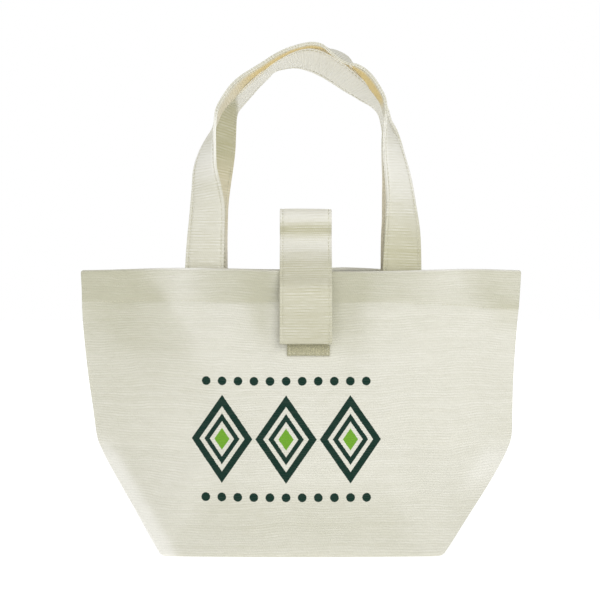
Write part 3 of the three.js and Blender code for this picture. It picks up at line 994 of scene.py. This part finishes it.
def weave_group():
    """Plain weave with thick, uneven weft yarns: height of the surface and tone of the yarns."""
    inputs = [("Place", "NodeSocketVector")]
    inputs += [(label, "NodeSocketFloat") for label in ("Weft pitch", "Warp pitch", "Slub", "Stray", "Rib")]
    tree, given, wanted = shader_group("tote_weave", inputs, ["Height", "Tone"])
    across, up, _ = split(given["Place"])
    wander = minus(noise(given["Place"], 34.0, 3.0), 0.5)
    drift = minus(noise(given["Place"], 11.0, 1.0), 0.5)
    stray = times(drift, 0.0140, times(wander, 0.0050))
    up = times(stray, given["Stray"], up)
    count = maths("DIVIDE", up, given["Weft pitch"])
    row = maths("FLOOR", count)
    bow = minus(times(maths("FRACT", count), 2.0), 1.0)
    profile = minus(1.0, times(bow, bow))
    patch = joined(times(across, 60.0), times(up, 170.0))
    plain = mapped(noise(patch, 1.0, 3.0, 0.6), 0.40, 0.66, 0.0, 1.3)
    turn = maths("DIVIDE", across, given["Warp pitch"])
    phase = times(plus(turn, row), math.pi)
    crossing = times(maths("SINE", phase), 0.5, 0.5)
    yarn = joined(times(across, 95.0), times(row, 5.37))
    slub = minus(noise(yarn, 1.0, 3.0, 0.6), 0.5)
    thick = times(slub, given["Slub"])
    ground = times(profile, times(crossing, 0.28, 0.62))
    feed(wanted["Height"], plus(ground, times(thick, 0.8)))
    tone = times(minus(profile, 0.62), plain)
    tone = times(thick, 0.7, times(tone, given["Rib"]))
    yarn_tone = node(tree, "ShaderNodeTexWhiteNoise", {"W": row}, noise_dimensions="1D")
    for value, weight in ((yarn_tone.outputs["Value"], 0.10), (crossing, 0.06)):
        tone = times(minus(value, 0.5), weight, tone)
    feed(wanted["Tone"], tone)
    return tree


def diamond_ring(distance, outer, inner, soft):
    """Mask between two sizes of a diamond, given each point's size as a share of the largest."""
    inside = mapped(distance, outer - soft, outer + soft, 1.0, 0.0)
    outside = mapped(distance, inner - soft, inner + soft, 0.0, 1.0)
    return times(inside, outside)


# Print on the front: a row of nested diamonds between two rows of dots
PRINT_MIDDLE = (-0.0095, 0.080)
DIAMOND_PITCH = 0.044
DIAMOND_HALF_WIDTH = 0.0210
DIAMOND_HALF_HEIGHT = 0.0300
DIAMOND_COUNT = 3
DOT_PITCH = 0.011
DOT_COUNT = 11
DOT_ROW = 0.0395
DOT_RADIUS = 0.0030
RINGS = ((1.0, 0.74), (0.58, 0.40))     # outer and inner size, as shares of the whole diamond
CORE = 0.25
INK_EDGE = 0.00022
INK_FRAY = 0.0005


def print_group():
    """Masks of the dark and the bright ink, on the front's x and z."""
    tree, given, wanted = shader_group("tote_print", [("Place", "NodeSocketVector")], ["Dark", "Bright"])
    x, y, z = split(given["Place"])
    fray = minus(noise(given["Place"], 900.0), 0.5)
    x = times(fray, INK_FRAY, minus(x, PRINT_MIDDLE[0]))
    z = times(fray, INK_FRAY, minus(z, PRINT_MIDDLE[1]))
    from_x = maths("ABSOLUTE", x)
    from_z = maths("ABSOLUTE", z)
    front = maths("LESS_THAN", y, 0.0)
    inside = maths("LESS_THAN", from_x, DIAMOND_COUNT * DIAMOND_PITCH / 2)
    cell = maths("WRAP", x, DIAMOND_PITCH / 2, -DIAMOND_PITCH / 2)
    share_x = maths("DIVIDE", maths("ABSOLUTE", cell), DIAMOND_HALF_WIDTH)
    share_z = maths("DIVIDE", from_z, DIAMOND_HALF_HEIGHT)
    distance = plus(share_x, share_z)
    soft = INK_EDGE / DIAMOND_HALF_WIDTH
    rings = [diamond_ring(distance, outer, inner, soft) for outer, inner in RINGS]
    rings = times(plus(*rings), inside)
    core = times(mapped(distance, CORE - soft, CORE + soft, 1.0, 0.0), inside)
    dot_x = maths("WRAP", x, DOT_PITCH / 2, -DOT_PITCH / 2)
    dot = distance_to(joined(dot_x, minus(from_z, DOT_ROW)))
    dots = mapped(dot, DOT_RADIUS - INK_EDGE, DOT_RADIUS + INK_EDGE, 1.0, 0.0)
    dots = times(dots, maths("LESS_THAN", from_x, DOT_COUNT * DOT_PITCH / 2))
    feed(wanted["Dark"], times(maths("MAXIMUM", rings, dots), front))
    feed(wanted["Bright"], times(core, front))
    return tree


def placed(group, place, settings):
    """The outputs of a node group that is laid out on a place."""
    inputs = {"Place": place, **settings}
    return node_beside((place,), "ShaderNodeGroup", inputs, node_tree=group).outputs


# Materials

PANEL_WEAVE = {"Weft pitch": 0.00175, "Warp pitch": 0.0008, "Slub": 0.54, "Stray": 0.8, "Rib": 0.32}
STRAP_WEAVE = {"Weft pitch": 0.00200, "Warp pitch": 0.0008, "Slub": 0.52, "Stray": 0.25, "Rib": 0.55}
PANEL_RELIEF = 0.55
STRAP_RELIEF = 0.36
CLOTH_SHARE = 0.24          # how much of the low colour plain cloth has
YARN_SHARE = -0.95
PATCH_SHARE = 0.22
# how much painted shade pulls the cloth towards the low colour
PAINTED_SHADING_SHARE = 0.52


def material(name):
    made = bpy.data.materials.new(name)
    made.use_nodes = True
    tree = made.node_tree
    shader = tree.nodes["Principled BSDF"]
    return made, tree, shader


def flat(colour_value):
    return (*colour_value, 1.0)


def finish(shader, shade, rough, specular, height, strength, depth):
    """Gives a shader its colour, its roughness and a relief of this strength and depth."""
    inputs = {"Strength": strength, "Distance": depth, "Height": height}
    bump = node(shader.id_data, "ShaderNodeBump", inputs).outputs[0]
    looks = {"Base Color": shade, "Roughness": rough, "Specular IOR Level": specular, "Normal": bump}
    for name, value in looks.items():
        feed(shader.inputs[name], value)


def cloth_material(name, high, low, yarns, relief, ink=None):
    """Woven cotton: yarns, slubs, slow patches, painted shade that makes hollows yellower, painted light
    from marks below 0, and ink where a print is given.
    """
    made, tree, shader = material(name)
    palette = colours()
    place = node(tree, "ShaderNodeUVMap", uv_map="cloth").outputs[0]
    weave = placed(MADE["weave"], place, yarns)
    solid = object_place(tree)
    patches = minus(noise(solid, 22.0, 3.0), 0.5)
    # Painted light and shade read from the mesh: painted shade yellows and darkens the cloth, painted light
    # pales it, and the glow is painted light through the cloth
    painted_shading = painted(tree, "painted_shading")
    share = CLOTH_SHARE
    for value, weight in ((weave["Tone"], YARN_SHARE), (patches, PATCH_SHARE), (painted_shading, PAINTED_SHADING_SHARE)):
        share = times(value, weight, share)
    share = maths("MINIMUM", maths("MAXIMUM", share, 0.0), 1.0)
    shade = blended(share, flat(high), flat(low))
    # Painted light, where the marks are below 0
    painted_light = maths("MAXIMUM", times(painted_shading, -1.0), 0.0)
    shade = blended(painted_light, shade, flat(palette.painted_light_colour))
    shade = blended(painted(tree, "glow"), shade, flat(palette.glow))
    if ink:
        masks = placed(ink, solid, {})
        worn = maths("MINIMUM", times(weave["Tone"], 0.12, 0.995), 1.0)
        for mask, tint in (("Dark", palette.dark_ink), ("Bright", palette.bright_ink)):
            shade = blended(times(masks[mask], worn), shade, flat(tint))
    rough = times(weave["Height"], -0.10, 0.98)
    finish(shader, shade, rough, 0.15, weave["Height"], relief, 0.0004)
    shader.inputs["Sheen Weight"].default_value = 0.16
    shader.inputs["Sheen Roughness"].default_value = 0.5
    return made


def thread_material(name):
    """Twisted sewing cotton."""
    made, tree, shader = material(name)
    twist = noise(object_place(tree), 2600.0, 1.0)
    tone = colours().thread
    dull = tuple(0.72 * channel for channel in tone)
    shade = blended(mapped(twist, 0.35, 0.65, 0.0, 1.0), flat(dull), flat(tone))
    finish(shader, shade, mapped(twist, 0.3, 0.7, 0.62, 0.8), 0.3, twist, 0.5, 0.0001)
    return made


def tape_material(name, grain):
    """Fastening tape: a close pile, coarse on the hook side and fuzzy on the loop side."""
    made, tree, shader = material(name)
    solid = object_place(tree)
    pile = node(tree, "ShaderNodeTexVoronoi", {"Vector": solid, "Scale": grain}, feature="F1")
    fuzz = noise(solid, grain * 1.7, 4.0, 0.7)
    tone = colours().tape
    dull = tuple(0.60 * channel for channel in tone)
    share = times(mapped(pile.outputs["Distance"], 0.1, 0.7, 1.0, 0.2), fuzz)
    share = mapped(share, 0.1, 0.5, 0.0, 1.0)
    shade = blended(share, flat(dull), flat(tone))
    finish(shader, shade, mapped(fuzz, 0.3, 0.7, 0.75, 0.95), 0.25, share, 0.6, 0.0005)
    return made


MADE = {}


def cloth(name):
    """Each material is made once, when the first piece asks for it."""
    if not MADE:
        MADE.update(weave=weave_group(), print=print_group(), stitches=stitch_tree())
    if name not in MADE:
        palette = colours()
        canvas = (palette.canvas, palette.canvas_low, PANEL_WEAVE, PANEL_RELIEF)
        maker, *values = {
            "canvas_front": (cloth_material, *canvas, MADE["print"]),
            "canvas_back": (cloth_material, *canvas),
            "strap_canvas": (cloth_material, palette.strap, palette.strap_low, STRAP_WEAVE, STRAP_RELIEF),
            "sewing_thread": (thread_material,),
            "hook_tape": (tape_material, 900.0),
            "loop_tape": (tape_material, 1500.0),
        }[name]
        MADE[name] = maker(name, *values)
    return MADE[name]


# Stitches, laid by Geometry Nodes along chains of edges

def stitch_tree():
    """Resamples each chain of edges and lays one stitch on every point, flat on the cloth."""
    tree = bpy.data.node_groups.new("tote_stitches", "GeometryNodeTree")
    kinds = {"Seam lines": "Geometry", "Pitch": "Float", "Length": "Float", "Thread": "Float",
             "Seed": "Int", "Thread material": "Material"}
    for label, kind in kinds.items():
        tree.interface.new_socket(name=label, in_out="INPUT", socket_type=f"NodeSocket{kind}")
    tree.interface.new_socket(name="Stitches", in_out="OUTPUT", socket_type="NodeSocketGeometry")
    given = tree.nodes.new("NodeGroupInput").outputs
    wanted = tree.nodes.new("NodeGroupOutput").inputs

    curve = node(tree, "GeometryNodeMeshToCurve", {"Mesh": given["Seam lines"]})
    even = node(tree, "GeometryNodeResampleCurve", {"Curve": curve.outputs[0], "Length": given["Pitch"]},
                mode="LENGTH")
    ball = node(tree, "GeometryNodeMeshUVSphere", {"Segments": 6, "Rings": 5, "Radius": 0.5})
    shape = joined(given["Length"], given["Thread"], given["Thread"])
    stitch = node(tree, "GeometryNodeTransform", {"Geometry": ball.outputs["Mesh"], "Scale": shape})
    rounded = node(tree, "GeometryNodeSetShadeSmooth", {0: stitch.outputs[0]})

    tangent = node(tree, "GeometryNodeInputTangent")
    along = node(tree, "FunctionNodeAlignRotationToVector", {"Vector": tangent.outputs[0]}, axis="X")
    out = node(tree, "GeometryNodeInputNamedAttribute", {"Name": "out"}, data_type="FLOAT_VECTOR")
    upright = node(tree, "FunctionNodeAlignRotationToVector",
                   {"Rotation": along.outputs[0], "Vector": out.outputs[0]}, axis="Z", pivot_axis="X")
    span = {"Min": (-0.05, -0.06, -0.09), "Max": (0.05, 0.06, 0.09), "Seed": given["Seed"]}
    loose = node(tree, "FunctionNodeRandomValue", span, data_type="FLOAT_VECTOR")
    tilt = node(tree, "FunctionNodeEulerToRotation", {0: loose.outputs[0]})
    both = node(tree, "FunctionNodeRotateRotation", {0: upright.outputs[0], 1: tilt.outputs[0]},
                rotation_space="LOCAL")

    laid = node(tree, "GeometryNodeInstanceOnPoints", {
        "Points": even.outputs[0], "Instance": rounded.outputs[0], "Rotation": both.outputs[0]})
    real = node(tree, "GeometryNodeRealizeInstances", {0: laid.outputs[0]})
    threaded = node(tree, "GeometryNodeSetMaterial",
                    {"Geometry": real.outputs[0], "Material": given["Thread material"]})
    feed(wanted[0], threaded.outputs[0])
    return tree


def stitches(name, lines, seed):
    """One plain mesh with all the stitches of some seams; each line is its points and its outs."""
    points = []
    outs = []
    edges = []
    for line, out in lines:
        first = len(points)
        points.extend(np.asarray(line).tolist())
        outs.extend(np.asarray(out).tolist())
        edges.extend((first + step, first + step + 1) for step in range(len(line) - 1))
    mesh = bpy.data.meshes.new(name)
    mesh.from_pydata(points, edges, [])
    layer = mesh.attributes.new("out", "FLOAT_VECTOR", "POINT")
    layer.data.foreach_set("vector", np.array(outs, np.float32).ravel())
    obj = new_object(name, mesh)
    sewing = obj.modifiers.new("stitches", "NODES")
    size = threads()
    values = {"Pitch": size.pitch, "Length": size.length, "Thread": size.thread, "Seed": seed,
              "Thread material": cloth("sewing_thread")}
    sewing.node_group = MADE["stitches"]
    for item in sewing.node_group.interface.items_tree:
        if item.in_out == "INPUT" and item.name in values:
            sewing[item.identifier] = values[item.name]
    baked(obj)
    return obj


# Each piece's material, and its transform baked into its mesh


def dress(obj, surface):
    obj.data.materials.clear()
    obj.data.materials.append(cloth(surface))
    return obj


def bend_at_hem(obj):
    """Bakes the piece's transform into its mesh."""
    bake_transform(obj)


def bend_at_fold(obj):
    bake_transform(obj)


# Operators, one for each piece or group of like pieces

class TOTE_OT_panels(bpy.types.Operator):
    """Makes the two sewn panels with their hem, boxed corners and seam allowances"""
    bl_idname = "tote.panels"
    bl_label = "Panels"

    def execute(self, context):
        for name, side, surface in (("front_panel", -1, "canvas_front"), ("back_panel", 1, "canvas_back")):
            cloth_panel = dress(panel(f"{name}_cloth", side), surface)
            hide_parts(name)
            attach(cloth_panel, "bag")
        return {"FINISHED"}


class TOTE_OT_handles(bpy.types.Operator):
    """Makes the two strap handles, each from sewn end to sewn end, with their edge stitching"""
    bl_idname = "tote.handles"
    bl_label = "Handles"

    def execute(self, context):
        cut = (straps().handle_width, straps().handle_thickness)
        for name, side, stations, marked in (
                ("front_handle", -1, front_handle_stations(), mark_front_handle),
                ("back_handle", 1, back_handle_stations(), mark_back_handle)):
            route = Route(stations, STRAP_STEPS, -side)
            strap = dress(strap_object(f"{name}_strap", route, *cut), "strap_canvas")
            marked(strap)
            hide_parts(name, f"{name}_left_end", f"{name}_right_end")
            bend_at_hem(strap)
            seams = stitches(f"{name}_stitches", edge_seams(route, *cut), 3 + side)
            bend_at_hem(seams)
        return {"FINISHED"}


class TOTE_OT_tab(bpy.types.Operator):
    """Makes the closure tab in two pieces that meet on its riser, with their edge stitching"""
    bl_idname = "tote.tab"
    bl_label = "Closure tab"

    def execute(self, context):
        cut = (straps().tab_width, straps().tab_thickness)
        route = tab_route()
        behind = np.nonzero((route.centre[:, 2] > TAB_SPLIT) & (route.centre[:, 1] > 0.0))[0][0]
        back = route.part(0, behind + 1)
        front = route.part(behind, len(route.centre))
        sewn = dress(strap_object("tab_back", back, *cut), "strap_canvas")
        mark_tab(sewn)
        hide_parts("tab_end", "tab_riser")
        bend_at_hem(sewn)
        flap = dress(strap_object("tab_front", front, *cut), "strap_canvas")
        mark_tab(flap)
        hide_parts("tab_flap")
        bend_at_fold(flap)
        back_seams = stitches("tab_back_stitches", edge_seams(back, *cut), 7)
        bend_at_hem(back_seams)
        lines = edge_seams(front, *cut) + cross_seams(front, *cut)
        front_seams = stitches("tab_front_stitches", lines, 9)
        bend_at_fold(front_seams)
        return {"FINISHED"}


HOOK_NEAR = 0.0024          # from the panel to the hook pad's face
LOOP_NEAR = 0.0004          # from the panel to the loop pad's back
HOOK_BOTTOM = 0.148
LOOP_BOTTOM = 0.137
LOOP_SHIFT = 0.0018         # the loop pad is sewn a little right of the tab's middle
LOOP_SEAM = LOOP_NEAR + 0.0009      # from the panel to the loop pad's stitches
PAD_THICKNESS = 0.0011
PAD_SEAM_INSET = 0.0016     # from a pad's edge in to its stitches


def tape_pad(name, near, bottom, surface, shift=0.0):
    """A fastening pad that follows the wall: a thin plate."""
    size = straps()
    middle = size.tab_offset + shift
    rows, columns = PAD_STEPS
    across = np.linspace(-size.pad_width / 2, size.pad_width / 2, columns)
    heights = np.linspace(bottom, bottom + size.pad_height, rows)
    grid = np.array([on_wall(middle + across, np.full(len(across), z), -1, near + PAD_THICKNESS / 2)
                     for z in heights])
    obj = sheet_object(name, [(grid, grid[:, :, [0, 2]])], PAD_THICKNESS)
    return dress(obj, surface)


def pad_seams(near, bottom, outward, shift=0.0):
    """The rectangle of stitches round a pad."""
    size = straps()
    left = size.tab_offset + shift - size.pad_width / 2 + PAD_SEAM_INSET
    right = size.tab_offset + shift + size.pad_width / 2 - PAD_SEAM_INSET
    low = bottom + PAD_SEAM_INSET
    high = bottom + size.pad_height - PAD_SEAM_INSET
    corners = [(left, low), (right, low), (right, high), (left, high), (left, low)]
    lines = []
    for (x0, z0), (x1, z1) in zip(corners, corners[1:]):
        share = np.linspace(0.0, 1.0, SHORT_ROW)
        place = on_wall(mix(x0, x1, share), mix(z0, z1, share), -1, near)
        lines.append((place, same_out((0.0, -outward, 0.0), SHORT_ROW)))
    return lines


class TOTE_OT_fastening(bpy.types.Operator):
    """Makes the hook pad behind the tab's end and the loop pad on the front, with their stitches"""
    bl_idname = "tote.fastening"
    bl_label = "Hook and loop pads"

    def execute(self, context):
        hooks = tape_pad("hook_pad_tape", HOOK_NEAR, HOOK_BOTTOM, "hook_tape")
        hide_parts("hook_pad")
        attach(hooks, "tab_flap")
        loops = tape_pad("loop_pad_tape", LOOP_NEAR, LOOP_BOTTOM, "loop_tape", LOOP_SHIFT)
        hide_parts("loop_pad")
        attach(loops, "bag")
        lines = pad_seams(HOOK_NEAR, HOOK_BOTTOM, -1.0)
        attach(stitches("hook_pad_stitches", lines, 11), "tab_flap")
        lines = pad_seams(LOOP_SEAM, LOOP_BOTTOM, 1.0, LOOP_SHIFT)
        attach(stitches("loop_pad_stitches", lines, 12), "bag")
        return {"FINISHED"}


HEM_SEAM_OUT = -0.0001      # from a wall's outer face to the outer row of stitches
HEM_SEAM_IN = -0.0036       # and to the inner row
HEM_SEAM_END = 0.0025       # the rows stop this far from the side seams


class TOTE_OT_hem_seams(bpy.types.Operator):
    """Sews the hem along the front and the back, outside and inside"""
    bl_idname = "tote.hem_seams"
    bl_label = "Hem seams"

    def execute(self, context):
        cut = sizes()
        reach = half_width(cut.height - cut.hem_line) - HEM_SEAM_END
        x = np.linspace(-reach, reach, HEM_ROW)
        lines = []
        for side in (-1, 1):
            for out, turn in ((HEM_SEAM_OUT, side), (HEM_SEAM_IN, -side)):
                place = on_wall(x, hem_height(x, side), side, out)
                lines.append((place, same_out((0.0, float(turn), 0.0), len(x))))
        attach(stitches("hem_stitches", lines, 1), "bag")
        return {"FINISHED"}


# Camera, floor and light. The photograph's middle column is x = 0, and it is 600 pixels wide.
CAMERA_PLACE = (0.0, -1.400, 0.215)
CAMERA_TARGET = (0.0, 0.0, 0.174)
FRAME_WIDTH = 0.4218        # what the picture's width spans at the bag's middle
SENSOR = 36.0
FLOOR_RADIUS = 4.0
FLOOR_GLOW = 0.62           # share of the floor that is plain white, as a lit table is
FLOOR_LIGHT = 1.30
FLOOR_COLOUR = (0.93, 0.93, 0.93, 1.0)
WHITE = (1.0, 1.0, 1.0, 1.0)
WORLD_LIGHT = 0.48
LAMP_TARGET = (0.0, 0.0, 0.17)
LAMPS = [                   # name, place, size and power
    ("key", (0.65, -1.6, 1.0), 1.3, 14.5),
    ("fill", (-1.4, -1.5, 0.7), 1.2, 2.2),
    ("back", (-0.4, 1.7, 1.2), 1.2, 11.0),
    ("left", (-1.6, 0.25, 0.2), 0.8, 4.0),
]


def seen_by(tree, first, *others):
    """1 for rays of these kinds, which see the stage as plain white."""
    rays = node(tree, "ShaderNodeLightPath").outputs
    seen = rays[first]
    for kind in others:
        seen = maths("MAXIMUM", seen, rays[kind])
    return seen


def shaders_mixed(share, first, second):
    inputs = {0: share, 1: first.outputs[0], 2: second.outputs[0]}
    return node_beside((share,), "ShaderNodeMixShader", inputs).outputs[0]


def stage_material():
    """A white floor that keeps the shadow near the bag and goes over into plain white further out."""
    made, tree, shader = material("studio_floor")
    place = object_place(tree)
    far = mapped(distance_to(place), 0.11, 0.30, FLOOR_GLOW, 1.0)
    shader.inputs["Base Color"].default_value = FLOOR_COLOUR
    feed(shader.inputs["Roughness"], mapped(noise(place, 40.0), 0.0, 1.0, 0.9, 1.0))
    shader.inputs["Specular IOR Level"].default_value = 0.0
    white = node(tree, "ShaderNodeEmission", {"Color": WHITE, "Strength": FLOOR_LIGHT})
    seen = seen_by(tree, "Is Camera Ray", "Is Glossy Ray")
    share = maths("MAXIMUM", times(seen, far), FLOOR_GLOW)
    feed(tree.nodes["Material Output"].inputs["Surface"], shaders_mixed(share, shader, white))
    return made


def floor():
    mesh = bpy.data.meshes.new("floor")
    circle = {"cap_ends": True, "radius": FLOOR_RADIUS, "segments": 96}
    edited(mesh, lambda shape: bmesh.ops.create_circle(shape, **circle))
    obj = new_object("floor", mesh)
    mesh.materials.append(stage_material())
    return obj


def world_light():
    """Even light from all round, shown as plain white behind the bag."""
    world = bpy.data.worlds.new("studio")
    bpy.context.scene.world = world
    world.use_nodes = True
    tree = world.node_tree
    tree.nodes.clear()
    light = node(tree, "ShaderNodeBackground", {"Color": WHITE, "Strength": WORLD_LIGHT})
    shown = node(tree, "ShaderNodeBackground", {"Color": WHITE})
    seen = seen_by(tree, "Is Camera Ray", "Is Glossy Ray", "Is Transmission Ray")
    node(tree, "ShaderNodeOutputWorld", {"Surface": shaders_mixed(seen, light, shown)})


def aimed(name, data, place, target):
    """A camera or a lamp in its place, turned towards a target."""
    obj = new_object(name, data)
    obj.location = place
    obj.rotation_euler = (Vector(target) - Vector(place)).to_track_quat("-Z", "Y").to_euler()
    return obj


def lamp(name, place, size, power):
    data = bpy.data.lights.new(name, "AREA")
    data.shape = "SQUARE"
    data.size = size
    data.energy = power
    aimed(name, data, place, LAMP_TARGET)


class TOTE_OT_stage(bpy.types.Operator):
    """Sets up the camera, the pale floor and the soft light"""
    bl_idname = "tote.stage"
    bl_label = "Stage"

    def execute(self, context):
        scene = context.scene
        scene.view_settings.view_transform = "Standard"
        data = bpy.data.cameras.new("camera")
        data.sensor_width = SENSOR
        data.lens = SENSOR * (Vector(CAMERA_TARGET) - Vector(CAMERA_PLACE)).length / FRAME_WIDTH
        scene.camera = aimed("camera", data, CAMERA_PLACE, CAMERA_TARGET)
        floor()
        world_light()
        for row in LAMPS:
            lamp(*row)
        return {"FINISHED"}


class TOTE_PT_sidebar(bpy.types.Panel):
    """Lists the steps of the bag in the 3D view's sidebar"""
    bl_idname = "TOTE_PT_sidebar"
    bl_label = "Canvas Tote"
    bl_space_type = "VIEW_3D"
    bl_region_type = "UI"
    bl_category = "Tote"

    def draw(self, context):
        scene = context.scene
        for group in (scene.tote_sizes, scene.tote_straps, scene.tote_threads, scene.tote_colours):
            column = self.layout.column(align=True)
            for name in group.__annotations__:
                column.prop(group, name)
        for step in STEPS:
            self.layout.operator(step.bl_idname)


GROUPS = {"tote_sizes": ToteSizes, "tote_straps": StrapSizes, "tote_threads": ThreadSizes,
          "tote_colours": ToteColours}
STEPS = (TOTE_OT_stage, TOTE_OT_panels, TOTE_OT_handles, TOTE_OT_tab, TOTE_OT_fastening,
         TOTE_OT_hem_seams)


def register():
    for kind in (*GROUPS.values(), *STEPS, TOTE_PT_sidebar):
        bpy.utils.register_class(kind)
    for name, kind in GROUPS.items():
        setattr(bpy.types.Scene, name, PointerProperty(type=kind))


def unregister():
    for name in GROUPS:
        delattr(bpy.types.Scene, name)
    for kind in (TOTE_PT_sidebar, *reversed(STEPS), *GROUPS.values()):
        bpy.utils.unregister_class(kind)


def main():
    register()
    bpy.ops.tote.stage()
    bpy.ops.tote.panels()
    bpy.ops.tote.handles()
    bpy.ops.tote.tab()
    bpy.ops.tote.fastening()
    bpy.ops.tote.hem_seams()


if __name__ == "__main__":
    main()
